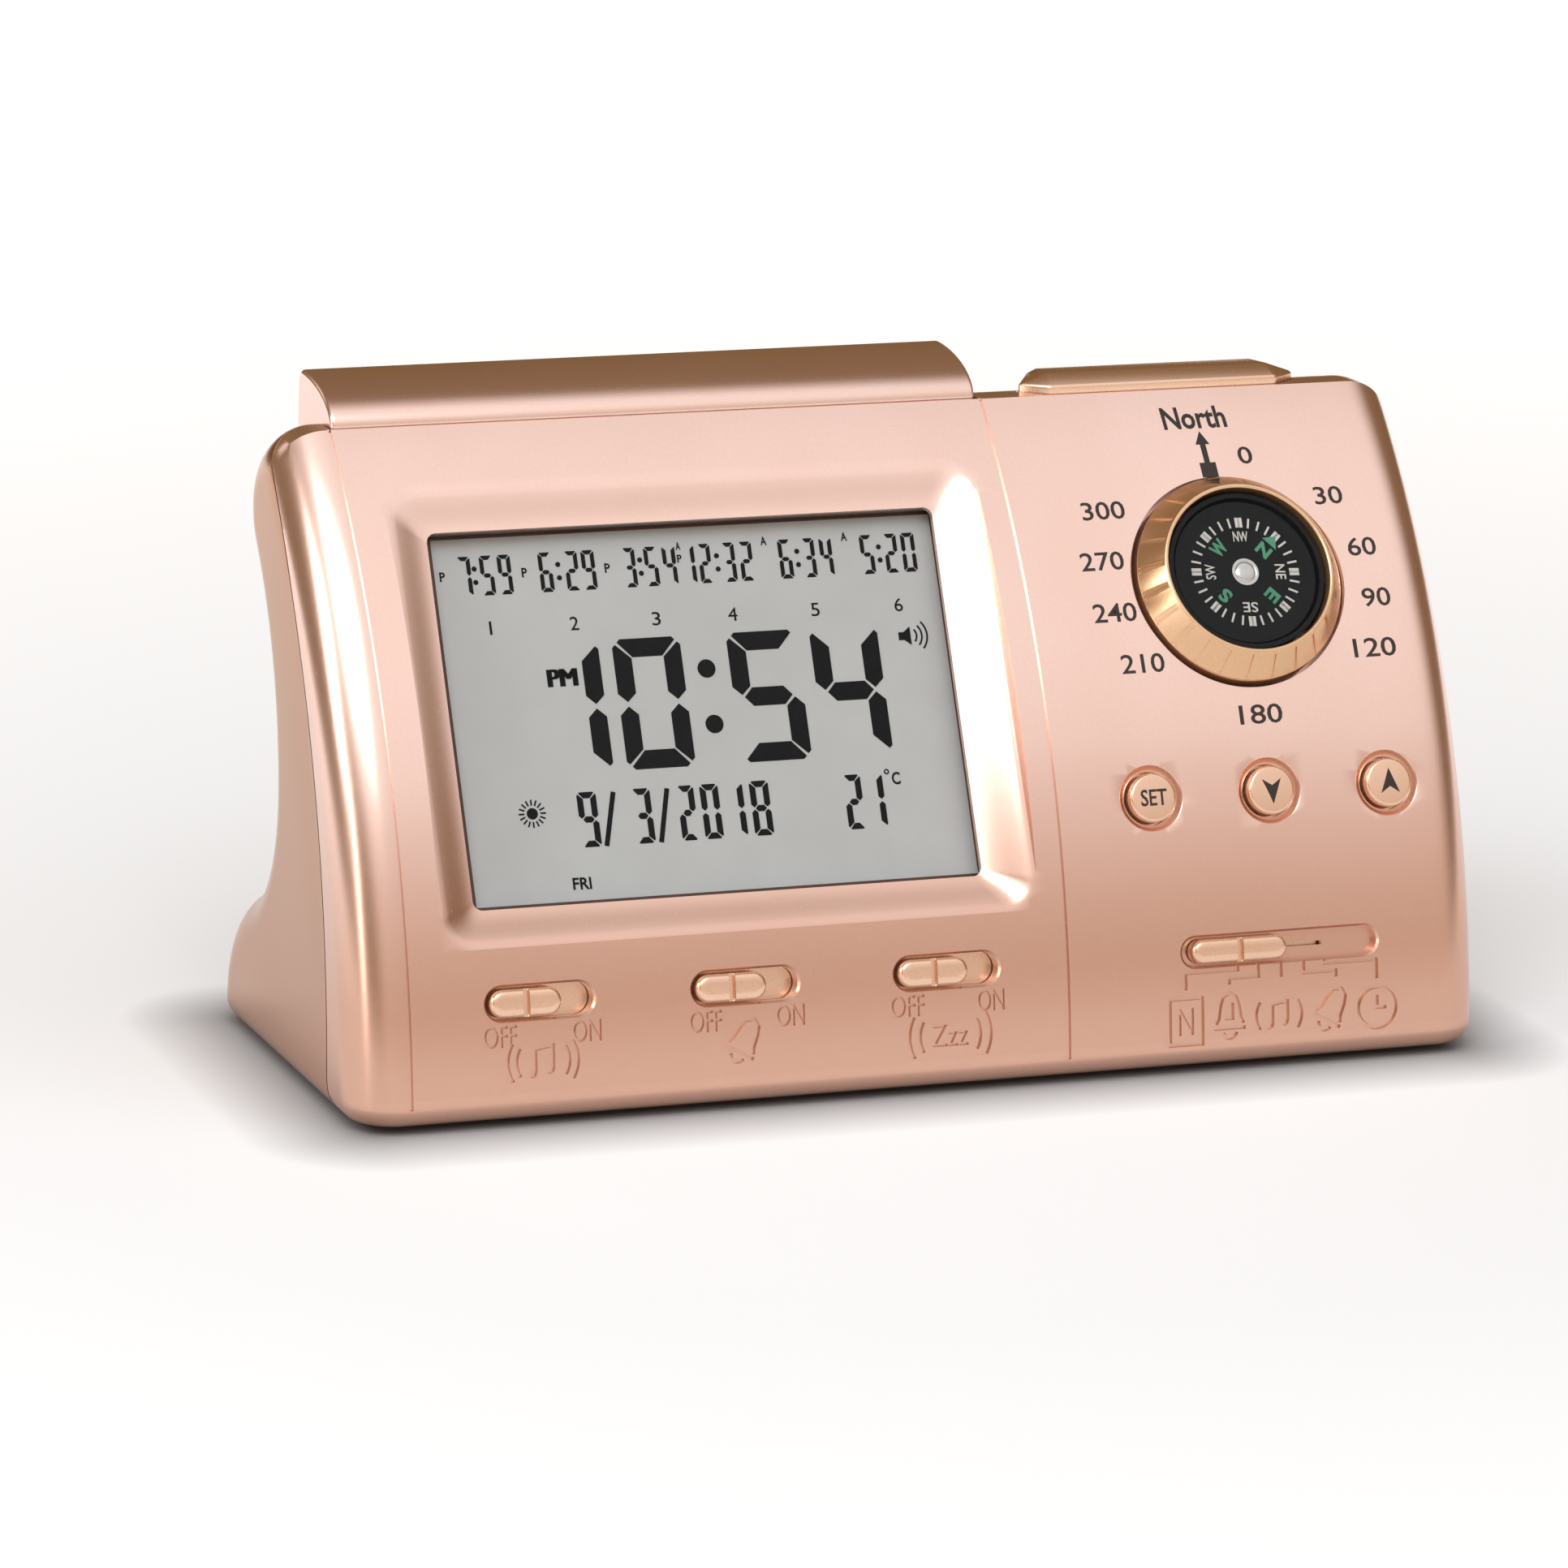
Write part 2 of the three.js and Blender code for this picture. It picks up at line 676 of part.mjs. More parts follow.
const springSeatZ = caseTop - rebateDepth - springPad;

// Solid zones inside the case that the hollow leaves standing.
function insideFeatures() {
  const compass = panelFrame(compassX, compassZ);
  const buttons = panelFrame(0, buttonZ);
  const slides = panelFrame(0, slideZ);
  const zones = [recessForm(recessWall, -windowLip, 0)];
  const wellRadius = bezelRadius + clearance + wellWall;
  zones.push(solidFrom(post(wellRadius, wellFloor - wellWall, overrun), compass));
  screwPlaces.forEach(([x, z]) => {
    zones.push(solidFrom(postY(screwColumnRadius, x, -halfDepth, halfDepth, z, smallSides)));
  });
  const floor = caseForm(rebateDepth + rebateFloor);
  zones.push(barRebate(rebateFloor).subtract(floor), keyRebate(rebateFloor).subtract(floor));
  boardPostXs.forEach((x) => {
    const stud = post(screwRadius, keyBoardTop + clearance, overrun, smallSides);
    zones.push(solidFrom(stud.translate(x, 0, 0), buttons));
  });
  slidePostXs.forEach((x) => {
    const stud = post(screwRadius, slideBoardTop + clearance, overrun, smallSides);
    zones.push(solidFrom(stud.translate(x, 0, 0), slides));
  });
  const collarFront = waistY - wall - clearance;
  const collar = postY(
    speakerRadius + collarWall, speakerX, collarFront, halfDepth, waistHeight,
  );
  const collarHole = postY(
    speakerRadius - speakerRim, speakerX, collarFront - overrun, caseDepth, waistHeight,
  );
  zones.push(solidFrom(collar).subtract(solidFrom(collarHole)));
  zones.push(solidFrom(box(
    bayLeft - bayWall, bayRight + bayWall, bayFront - bayWall, bayBack + bayWall,
    0, bayTop + bayWall,
  )));
  topStudXs.forEach((x) => {
    const stud = post(screwRadius, topBoardZ + clearance, caseTop, smallSides);
    zones.push(solidFrom(stud.translate(x, (topBoardFront + topBoardBack) / 2, 0)));
  });
  springXs.forEach((x) => {
    const pad = post(springRadius + clearance, topSwitchTop, springSeatZ, smallSides);
    zones.push(solidFrom(pad.translate(x, legY, 0)));
  });
  return zones;
}

// Everything that is cut out of the case.
function caseCuts() {
  const compass = panelFrame(compassX, compassZ);
  const cuts = [recessForm(0, 0, windowLip + overrun)];
  cuts.push(solidFrom(slab(
    frameWidth + 2 * clearance, frameHeight + 2 * clearance, frameBackZ - clearance, lensFront,
  ), windowFrame));
  cuts.push(solidFrom(post(bezelRadius + clearance, wellFloor, bezelRadius), compass));
  buttonXs.forEach((x) => {
    const frame = panelFrame(x, buttonZ);
    const bore = buttonRadius + clearance;
    cuts.push(solidFrom(post(bore, flangeTop, overrun), frame));
    cuts.push(solidFrom(turned([
      [0, -dishDepth], [bore, -dishDepth], [dishRadius, 0], [dishRadius, overrun], [0, overrun],
    ]), frame));
  });
  Object.values(slideXs).forEach((x) => {
    const slot = roundedPlate(slotLength, slotHeight, slotHeight / 2, flangeTop, overrun);
    cuts.push(solidFrom(slot, panelFrame(x, slideZ)));
  });
  const modeFrame = panelFrame(modeX, slideZ);
  cuts.push(solidFrom(roundedPlate(
    modeSlotLength, modeSlotHeight, modeSlotHeight / 2, -modeSlotDepth, overrun,
  ), modeFrame));
  const slit = [modeStemLength + modeTravel + 2 * clearance, modeStemHeight + 2 * clearance];
  cuts.push(solidFrom(slab(...slit, flangeTop, 0), modeFrame));
  const rebate = caseForm(rebateDepth);
  cuts.push(barRebate(0).subtract(rebate), keyRebate(0).subtract(rebate));
  const holes = [
    ...legXs.map((x) => [x, legY, legWidth, legDepth]),
    [barPostX, legY, legDepth, legDepth],
    [keyX, legY, legDepth, keyPostDepth],
  ];
  holes.forEach(([x, y, width, depth]) => {
    const hole = slab(
      width + 2 * clearance, depth + 2 * clearance, topSwitchTop - overrun, caseTop,
    );
    cuts.push(solidFrom(hole.translate(x, y, 0)));
  });
  screwPlaces.forEach(([x, z]) => {
    const seat = partY(z) + screwSeat;
    const tip = partY(z) - screwBite - clearance;
    cuts.push(solidFrom(postY(screwRadius + clearance, x, tip, seat + overrun, z, smallSides)));
    cuts.push(solidFrom(
      postY(screwHeadRadius + clearance, x, seat, caseDepth, z, smallSides),
    ));
  });
  footPlaces.forEach(([x, y]) => {
    const seat = post(footRadius + clearance, -overrun, floorLift + footSink + clearance);
    cuts.push(solidFrom(seat.translate(x, y, 0)));
  });
  cuts.push(solidFrom(box(bayLeft, bayRight, bayFront, bayBack, -overrun, bayTop)));
  cuts.push(doorZone(clearance));
  const reach = speakerRadius * grilleReachShare;
  for (let i = 0; i < grilleSlots; i += 1) {
    const rise = (i - (grilleSlots - 1) / 2) * grillePitch;
    const half = Math.sqrt(Math.max(reach ** 2 - rise ** 2, grilleSlot ** 2));
    cuts.push(solidFrom(box(
      speakerX - half, speakerX + half, waistY - wall - overrun, caseDepth,
      waistHeight + rise - grilleSlot / 2, waistHeight + rise + grilleSlot / 2,
    )));
  }
  const skin = caseForm(lineDepth);
  [leftLineX, seamX].forEach((x) => {
    const line = box(
      x - lineWidth / 2, x + lineWidth / 2, -halfDepth - overrun, barFront - clearance,
      floorLift + bottomRound, caseTop + overrun,
    );
    cuts.push(solidFrom(line).subtract(skin));
  });
  return cuts;
}

// The case is made whole, with its bosses and openings, and then parted into the front
// housing and the rear cover.
function addCase() {
  const hollow = cutBy(caseInner, insideFeatures());
  const whole = cutBy(caseOuter.subtract(hollow), caseCuts());
  const half = clearance / 2;
  addPart("front_housing", geometryFrom(whole.intersect(frontZone(half))), "paint");
  addPart("rear_cover", geometryFrom(whole.subtract(frontZone(-half))), "paint");
  const shell = caseOuter.subtract(caseInner);
  addPart("battery_door", geometryFrom(shell.intersect(doorZone(0))), "paint");
}

function addDisplay() {
  const group = addGroup(windowFrame);
  const low = -glassHeight / 2;
  const lightLow = low + backlightTrim;
  const glass = [glassWidth, glassHeight];
  addPart("screen_lens", slab(...glass, lensBack, lensFront), "clear", group);
  addPart("lcd_glass", slab(...glass, glassBack, glassFront), "lcd", group);
  const light = [-windowWidth / 2, windowWidth / 2, lightLow, -low];
  addPart("lcd_backlight", box(...light, backlightBack, backlightFront), "white", group);
  const strip = [-windowWidth / 2, windowWidth / 2, low, low + stripThick];
  addPart(
    "zebra_strip", box(...strip, boardFront + clearance, glassBack - clearance), "rubber", group,
  );
  const grown = ([x0, x1, y0, y1]) => [
    x0 - clearance, x1 + clearance, y0 - clearance, y1 + clearance,
  ];
  const body = slab(frameWidth, frameHeight, frameBackZ, lensFront - clearance);
  const glassSeat = [-glassWidth / 2, glassWidth / 2, low, -low];
  const opening = [
    light[0] + frameRim, light[1] - frameRim, light[2] + frameRim, light[3] - frameRim,
  ];
  const frame = cutBy(solidFrom(body), [
    solidFrom(box(...grown(glassSeat), glassBack - clearance, 0)),
    solidFrom(box(...grown(light), backlightBack - clearance, 0)),
    solidFrom(box(...opening, frameBackZ - overrun, 0)),
    solidFrom(box(...grown(strip), frameBackZ - overrun, 0)),
  ]);
  addPart("lcd_frame", geometryFrom(frame), "white", group);
  const boardBack = boardFront - boardThick;
  const board = box(
    -glassWidth / 2, glassWidth / 2, -frameHeight / 2, frameHeight / 2 - boardTrim,
    boardBack, boardFront,
  );
  addPart("main_board", board, "board", group);
  const chipTop = boardBack - clearance;
  addPart("clock_chip", slab(chipSize, chipSize, chipTop - chipThick, chipTop), "black", group);
  const crystal = post(crystalRadius, 0, crystalLength, smallSides).rotateY(Math.PI / 2);
  crystal.translate(chipSize, -chipSize, chipTop - crystalRadius);
  addPart("quartz_crystal", crystal, "steel", group);
}

function addCompass() {
  const group = addGroup(panelFrame(compassX, compassZ));
  const floor = wellFloor + clearance;
  const bezel = turned([
    [bezelInnerRadius, floor], [bezelRadius, floor], [bezelRadius, bezelShoulder],
    [bezelTopRadius, bezelRise], [bezelInnerRadius, bezelRise], [bezelInnerRadius, floor],
  ], 2 * roundSides);
  addPart("compass_ring", bezel, "bezel", group);
  const domeTop = bezelRise - domeInset;
  const domeLow = domeTop - domeThick;
  const cupInner = cupRadius - cupWall;
  const cup = turned([
    [0, floor], [cupRadius, floor], [cupRadius, domeLow - clearance],
    [cupInner, domeLow - clearance], [cupInner, floor + cupFloor], [0, floor + cupFloor],
  ]);
  addPart("compass_cup", cup, "black", group);
  const cardTop = domeLow - cardDrop;
  const cardLow = cardTop - cardThick;
  const cardRadius = cupInner - clearance;
  const card = turned([
    [0, cardLow], [cardRadius, cardLow], [cardRadius, cardTop],
    [hubRadius, cardTop], [hubRadius, cardTop + hubRise], [0, cardTop + hubRise],
  ]);
  addPart("compass_card", card, "black", group);
  const pin = post(pinRadius, floor + cupFloor + clearance, cardLow - clearance, smallSides);
  addPart("compass_pin", pin, "brass", group);
  const dome = turned([
    [0, domeLow], [cupRadius, domeLow], [cupRadius, domeTop - domeInset],
    [cupRadius - domeThick, domeTop], [0, domeTop],
  ]);
  addPart("compass_dome", dome, "clear", group);
}

function addButtons() {
  const names = ["set", "down", "up"];
  names.forEach((name, i) => {
    const group = addGroup(panelFrame(buttonXs[i], buttonZ));
    const flangeRadius = buttonRadius + flangeExtra;
    const button = turned([
      [0, flangeLow], [flangeRadius, flangeLow], [flangeRadius, flangeTop],
      [buttonRadius, flangeTop], [buttonRadius, buttonRise - clearance],
      [buttonRadius - clearance, buttonRise], [0, buttonRise],
    ]);
    addPart(name + "_button", button, "accent", group);
    addPart(name + "_switch", slab(tactSize, tactSize, tactLow, tactTop), "black", group);
  });
  const board = slab(
    2 * boardHalf, tactSize + 2 * boardMargin, keyBoardTop - boardThick, keyBoardTop,
  );
  addPart("key_board", board, "board", addGroup(panelFrame(compassX, buttonZ)));
}

// A sliding knob: a rounded cap with a notch across it.
function knobCap(length, height, low) {
  const cap = solidFrom(roundedPlate(length, height, height / 2, low, knobRise));
  const notch = slab(notchWidth, 2 * height, knobRise - notchDepth, knobRise + overrun);
  return cap.subtract(solidFrom(notch));
}

function addSlides() {
  const capHeight = slotHeight - 2 * clearance;
  Object.entries(slideXs).forEach(([name, x]) => {
    const flange = slab(
      knobLength + 2 * flangeExtra, slotHeight + 2 * flangeExtra, flangeLow, flangeTop,
    );
    const knob = knobCap(knobLength, capHeight, flangeLow).add(solidFrom(flange));
    const knobGroup = addGroup(panelFrame(x - slideTravel / 2, slideZ));
    addPart(name + "_knob", geometryFrom(knob), "accent", knobGroup);
    const body = slab(slideSwitchLength, slideSwitchHeight, slideSwitchLow, slideSwitchTop);
    addPart(name + "_slide_switch", body, "steel", addGroup(panelFrame(x, slideZ)));
  });
  const stem = slab(modeStemLength, modeStemHeight, flangeLow, 0);
  const clip = slab(
    modeStemLength + 2 * flangeExtra, modeStemHeight + 2 * flangeExtra, flangeLow, flangeTop,
  );
  const modeHeight = modeSlotHeight - 2 * clearance;
  const knob = knobCap(modeKnobLength, modeHeight, clearance - modeSlotDepth)
    .add(solidFrom(stem)).add(solidFrom(clip));
  const knobGroup = addGroup(panelFrame(modeKnobX, slideZ));
  addPart("mode_knob", geometryFrom(knob), "accent", knobGroup);
  const body = slab(modeSwitchLength, slideSwitchHeight, slideSwitchLow, slideSwitchTop);
  addPart("mode_switch", body, "steel", addGroup(panelFrame(modeX, slideZ)));
  const half = slideSwitchHeight / 2 + boardMargin;
  const board = box(
    slideBoardLeft, slideBoardRight, -half, half, slideBoardTop - boardThick, slideBoardTop,
  );
  addPart("slide_board", board, "board", addGroup(panelFrame(0, slideZ)));
}

// The bar's section: a quarter ellipse from its foot to its crest, and a rounded back.
function barSection(inset, low) {
  const crestY = barFront + barSweep;
  const steps = 10;
  const sweep = Array.from({ length: steps + 1 }, (_, i) => {
    const angle = Math.PI - (i * Math.PI) / (2 * steps);
    return [
      crestY + (barSweep - inset) * Math.cos(angle),
      caseTop + (barRise - inset) * Math.sin(angle),
    ];
  });
  const back = Array.from({ length: 5 }, (_, i) => {
    const angle = Math.PI / 2 - ((i + 1) * Math.PI) / 10;
    return [
      crestY + (barTopDepth - inset) * Math.cos(angle),
      caseTop + barRise - inset - barBackDrop * (1 - Math.sin(angle)),
    ];
  });
  const end = inset < barTopDepth ? back : [];
  return [
    [barFront + inset, low], ...sweep, ...end, [barBack - inset, low],
  ];
}

function addBar() {
  const low = caseTop - barSkirt;
  const outer = solidFrom(alongX(barSection(0, low), barLeft, barRight));
  const inner = solidFrom(
    alongX(barSection(barWall, low - overrun), barLeft + barWall, barRight - barWall),
  );
  const ceiling = caseTop + barRise - barWall;
  const under = topRearRadius - rebateDepth - rebateFloor;
  const legFront = legY - legDepth / 2;
  const barbTop = topRearZ - clearance + Math.sqrt(under ** 2 - (legFront - topRearY) ** 2);
  const legs = legXs.map((x) => {
    const x0 = x - legWidth / 2;
    const x1 = x + legWidth / 2;
    const leg = box(x0, x1, legFront, legFront + legDepth, barbTop - barbThick, ceiling);
    const barb = box(x0, x1, legFront - barbReach, legY, barbTop - barbThick, barbTop);
    return solidFrom(leg).add(solidFrom(barb));
  });
  const pressLow = topSwitchTop + barTravel + clearance;
  const press = slab(legDepth, legDepth, pressLow, ceiling).translate(barPostX, legY, 0);
  const seat = caseForm(rebateDepth - barTravel - clearance);
  const bar = joined([outer.subtract(inner).subtract(seat), ...legs, solidFrom(press)]);
  addPart("snooze_bar", geometryFrom(bar), "paint");
  const drop = Math.sqrt(1 - ((barSweep - legBack + springRadius) / (barSweep - barWall)) ** 2);
  const springTop = caseTop + (barRise - barWall) * drop - clearance;
  ["left", "right"].forEach((side, i) => {
    const spring = post(springRadius, springSeatZ + clearance, springTop, smallSides);
    addPart("bar_spring_" + side, spring.translate(springXs[i], legY, 0), "steel");
  });
}

function addKey() {
  const ridge = (x, y, z) => new THREE.Vector3(x, y, z);
  const x0 = keyLeft + keyRidgeIn;
  const x1 = keyRight - keyRidgeIn;
  const rearY = keyBack - keyRearIn;
  const top = caseTop + keyRise;
  const band = keyOutline(0).flatMap(([x, y]) => [
    ridge(x, y, caseTop - keySkirt), ridge(x, y, caseTop + keyBand),
  ]);
  const crown = [
    ridge(x0, keyRidgeY, top), ridge(x1, keyRidgeY, top),
    ridge(x0, rearY, top - keyRearDrop), ridge(x1, rearY, top - keyRearDrop),
  ];
  const seat = caseForm(rebateDepth - keyTravel - clearance);
  const pressLow = topSwitchTop + keyTravel + clearance;
  const press = slab(legDepth, keyPostDepth, pressLow, caseTop).translate(keyX, legY, 0);
  const key = solidFrom(new ConvexGeometry([...band, ...crown])).subtract(seat);
  addPart("top_key", geometryFrom(key.add(solidFrom(press))), "accent");
}

function addTopBoard() {
  const board = box(
    topBoardLeft, topBoardRight, topBoardFront, topBoardBack,
    topBoardZ - boardThick, topBoardZ,
  );
  addPart("top_board", board, "board");
  const places = { bar_switch: [barPostX, legY], top_key_switch: [keyX, legY] };
  Object.entries(places).forEach(([name, [x, y]]) => {
    const body = slab(topSwitchSize, topSwitchSize, topBoardZ + clearance, topSwitchTop);
    addPart(name, body.translate(x, y, 0), "black");
  });
}

function addSpeaker() {
  const frame = new THREE.Matrix4().makeRotationX(-Math.PI / 2);
  frame.setPosition(speakerX, waistY - wall - 2 * clearance, waistHeight);
  const group = addGroup(frame);
  const rimInner = speakerRadius - speakerRim;
  const basketInner = speakerBasketRadius - speakerRim;
  const basketLow = -speakerDepth;
  const ring = turned([
    [basketInner, basketLow], [speakerBasketRadius, basketLow],
    [speakerRadius - coneThick, -speakerRim], [speakerRadius, -speakerRim],
    [speakerRadius, 0], [rimInner, 0], [rimInner, clearance - speakerRim],
    [speakerBasketRadius - coneThick, basketLow + speakerRim],
    [basketInner, basketLow + speakerRim], [basketInner, basketLow],
  ]);
  addPart("speaker_frame", ring, "steel", group);
  const edge = rimInner - clearance;
  const coneLow = -coneDepth - coneThick;
  const coneMiddle = magnetRadius / 2;
  const cone = turned([
    [0, coneLow], [coneMiddle, coneLow], [edge - coneThick, -speakerRim / 2 - clearance],
    [edge, -speakerRim / 2 - clearance], [edge, -clearance], [edge - coneThick, -clearance],
    [coneMiddle, -coneDepth], [0, -coneDepth],
  ]);
  addPart("speaker_cone", cone, "paper", group);
  const magnetTop = basketLow - clearance;
  addPart(
    "speaker_magnet", post(magnetRadius, magnetTop - magnetThick, magnetTop), "steel", group,
  );
}

// The batteries lie side by side, turned opposite ways, between their contacts.
function addBatteries() {
  const halfBay = bayLength / 2;
  for (let i = 0; i < batteries; i += 1) {
    const frame = new THREE.Matrix4().makeRotationZ(i * Math.PI);
    frame.setPosition((bayLeft + bayRight) / 2, batteryY(i), batteryZ);
    const group = addGroup(frame);
    const length = batteryLength;
    const cell = turned([
      [0, 0], [batteryRadius, 0], [batteryRadius, length],
      [batteryTipRadius, length], [batteryTipRadius, length + batteryTip],
      [0, length + batteryTip],
    ]).rotateY(Math.PI / 2);
    const start = 2 * clearance + contactThick + springLength - halfBay;
    addPart("battery_" + (i + 1), cell.translate(start, 0, 0), "cell", group);
    const spring = turned([
      [0, 0], [springWideRadius, 0], [springWideRadius, contactThick],
      [springNarrowRadius, contactThick + springLength], [0, contactThick + springLength],
    ], smallSides).rotateY(Math.PI / 2);
    addPart("minus_spring_" + (i + 1), spring.translate(clearance - halfBay, 0, 0), "steel", group);
    const plate = box(
      halfBay - clearance - contactThick, halfBay - clearance,
      -contactHeight / 2, contactHeight / 2, -contactHeight / 2, contactHeight / 2,
    );
    addPart("plus_contact_" + (i + 1), plate, "steel", group);
  }
}

function addFixings() {
  screwPlaces.forEach(([x, z], i) => {
    const screw = turned([
      [0, -screwSeat - screwBite], [screwRadius, -screwSeat - screwBite],
      [screwRadius, clearance], [screwHeadRadius, clearance],
      [screwHeadRadius, clearance + screwHeadThick], [0, clearance + screwHeadThick],
    ], smallSides).rotateX(-Math.PI / 2);
    addPart("case_screw_" + (i + 1), screw.translate(x, partY(z) + screwSeat, z), "steel");
  });
  footPlaces.forEach(([x, y], i) => {
    const foot = post(footRadius, 0, floorLift + footSink);
    addPart("foot_" + (i + 1), foot.translate(x, y, 0), "rubber");
  });
}

addCase();
addDisplay();
addCompass();
addButtons();
addSlides();
addBar();
addKey();
addTopBoard();
addSpeaker();
addBatteries();
addFixings();

export default clock;
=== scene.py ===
import math

import bmesh
import bpy
from mathutils import Matrix, Vector


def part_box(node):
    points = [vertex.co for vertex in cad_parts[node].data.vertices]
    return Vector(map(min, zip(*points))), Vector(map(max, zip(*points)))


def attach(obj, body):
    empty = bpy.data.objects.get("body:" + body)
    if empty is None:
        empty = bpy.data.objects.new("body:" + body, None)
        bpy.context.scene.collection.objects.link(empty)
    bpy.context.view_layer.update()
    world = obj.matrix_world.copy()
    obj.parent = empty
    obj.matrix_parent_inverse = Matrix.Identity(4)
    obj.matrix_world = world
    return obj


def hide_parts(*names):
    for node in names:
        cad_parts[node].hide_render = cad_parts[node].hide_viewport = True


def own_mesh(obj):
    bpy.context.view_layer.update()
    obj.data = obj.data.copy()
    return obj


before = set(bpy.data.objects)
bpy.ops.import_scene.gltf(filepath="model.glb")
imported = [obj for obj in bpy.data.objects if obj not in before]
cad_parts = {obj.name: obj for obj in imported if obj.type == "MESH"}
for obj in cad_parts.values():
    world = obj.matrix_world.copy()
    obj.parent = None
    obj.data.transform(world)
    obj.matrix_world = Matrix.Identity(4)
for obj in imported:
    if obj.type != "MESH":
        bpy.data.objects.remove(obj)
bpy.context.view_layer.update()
mm = 0.001
print("frame loaded:", len(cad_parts), "nodes")


# an expression on a socket adds its Math nodes
class Link:
    def __init__(self, shader, socket):
        self.shader = shader
        self.socket = socket

    def math(self, operation, *others):
        return self.shader.node("Math", {"operation": operation}, [self, *others])

    def __add__(self, other):
        return self.math("ADD", other)

    def __sub__(self, other):
        return self.math("SUBTRACT", other)

    def __rsub__(self, other):
        return self.shader.node("Math", {"operation": "SUBTRACT"}, [other, self])

    def __mul__(self, other):
        return self.math("MULTIPLY", other)

    __radd__ = __add__
    __rmul__ = __mul__

    def over(self, low, high):
        return self.shader.node(
            "MapRange", {"clamp": True}, {"Value": self, "From Min": low, "From Max": high})


class Shader:
    def __init__(self, name, world=None):
        self.material = world or bpy.data.materials.new(name)
        self.material.use_nodes = True
        self.tree = self.material.node_tree
        self.tree.nodes.clear()

    def node(self, kind, settings=None, sockets=None, output=0):
        made = self.tree.nodes.new("ShaderNode" + kind)
        for key, value in (settings or {}).items():
            setattr(made, key, value)
        pairs = sockets.items() if isinstance(sockets, dict) else enumerate(sockets or [])
        for key, value in pairs:
            if isinstance(value, Link):
                self.tree.links.new(value.socket, made.inputs[key])
            else:
                made.inputs[key].default_value = value
        return Link(self, made.outputs[output])

    def spot(self):
        return self.node("TexCoord", output=3)  # the Object output

    def place(self, scale=(1, 1, 1)):
        return self.node("Mapping", None, {"Vector": self.spot(), "Scale": scale})

    def noise(self, scale, detail, stretch=(1, 1, 1)):
        return self.node("TexNoise", None, {
            "Vector": self.place(stretch), "Scale": scale, "Detail": detail})

    def blend(self, factor, *tones):
        first, second = ((*tone, 1) if isinstance(tone, tuple) else tone for tone in tones)
        return self.node(
            "Mix", {"data_type": "RGBA"}, {0: factor, 6: first, 7: second}, output=2)

    def bump(self, height, strength, distance):
        return self.node("Bump", None, {
            "Height": height, "Strength": strength, "Distance": distance})

    def finish(self, **sockets):
        self.output(self.node("BsdfPrincipled", None, {
            key.replace("_", " "): value for key, value in sockets.items()}))
        return self.material

    def output(self, surface, kind="Material"):
        end = self.tree.nodes.new("ShaderNodeOutput" + kind)
        self.tree.links.new(surface.socket, end.inputs["Surface"])


def colour(red, green, blue):
    # screen values from 0 to 255 as linear ones
    return tuple(
        c / 12.92 if c <= 0.04045 else ((c + 0.055) / 1.055) ** 2.4
        for c in (red / 255, green / 255, blue / 255))


# pieces are made in millimetres and finished in metres
def solid(name, points, faces):
    mesh = bpy.data.meshes.new(name)
    mesh.from_pydata([tuple(point) for point in points], [], faces)
    tidy = bmesh.new()
    tidy.from_mesh(mesh)
    bmesh.ops.recalc_face_normals(tidy, faces=tidy.faces)
    tidy.to_mesh(mesh)
    tidy.free()
    made = bpy.data.objects.new(name, mesh)
    bpy.context.scene.collection.objects.link(made)
    return made


def applied(piece):
    depsgraph = bpy.context.evaluated_depsgraph_get()
    mesh = bpy.data.meshes.new_from_object(piece.evaluated_get(depsgraph))
    piece.modifiers.clear()
    piece.data = mesh
    return piece


def combine(base, tools, operation="DIFFERENCE"):
    for tool in tools:
        step = base.modifiers.new("step", "BOOLEAN")
        step.operation = operation
        step.solver = "MANIFOLD"
        step.object = tool
    applied(base)
    for tool in tools:
        bpy.data.objects.remove(tool)
    return base


def copyOf(piece, name):
    twin = bpy.data.objects.new(name, piece.data.copy())
    bpy.context.scene.collection.objects.link(twin)
    return twin


def joinedMesh(name, parts):
    whole = bmesh.new()
    for part in parts:
        whole.from_mesh(part.data)
        bpy.data.objects.remove(part)
    mesh = bpy.data.meshes.new(name)
    whole.to_mesh(mesh)
    whole.free()
    made = bpy.data.objects.new(name, mesh)
    bpy.context.scene.collection.objects.link(made)
    return made


def placed(piece, matrix):
    piece.data.transform(matrix)
    return piece


def loft(name, rings, first=None, last=None):
    count = len(rings[0])
    points = [point for ring in rings for point in ring]
    faces = []
    for ring in range(len(rings) - 1):
        for i in range(count):
            a, b = ring * count + i, ring * count + (i + 1) % count
            faces.append((a, b, b + count, a + count))
    end = (len(rings) - 1) * count
    for start, tip in ((0, first), (end, last)):
        if tip is None:
            faces.append(tuple(range(start, start + count)))
            continue
        points.append(tip)
        for i in range(count):
            faces.append((start + i, start + (i + 1) % count, len(points) - 1))
    return solid(name, points, faces)


def prism(name, outline, low, high):
    return loft(name, [[(x, y, z) for x, y in outline] for z in (low, high)])


def block(name, x0, x1, y0, y1, z0, z1):
    return prism(name, [(x0, y0), (x1, y0), (x1, y1), (x0, y1)], z0, z1)


def alongX(name, outline, x0, x1):
    return loft(name, [[(x, y, z) for y, z in outline] for x in (x0, x1)])


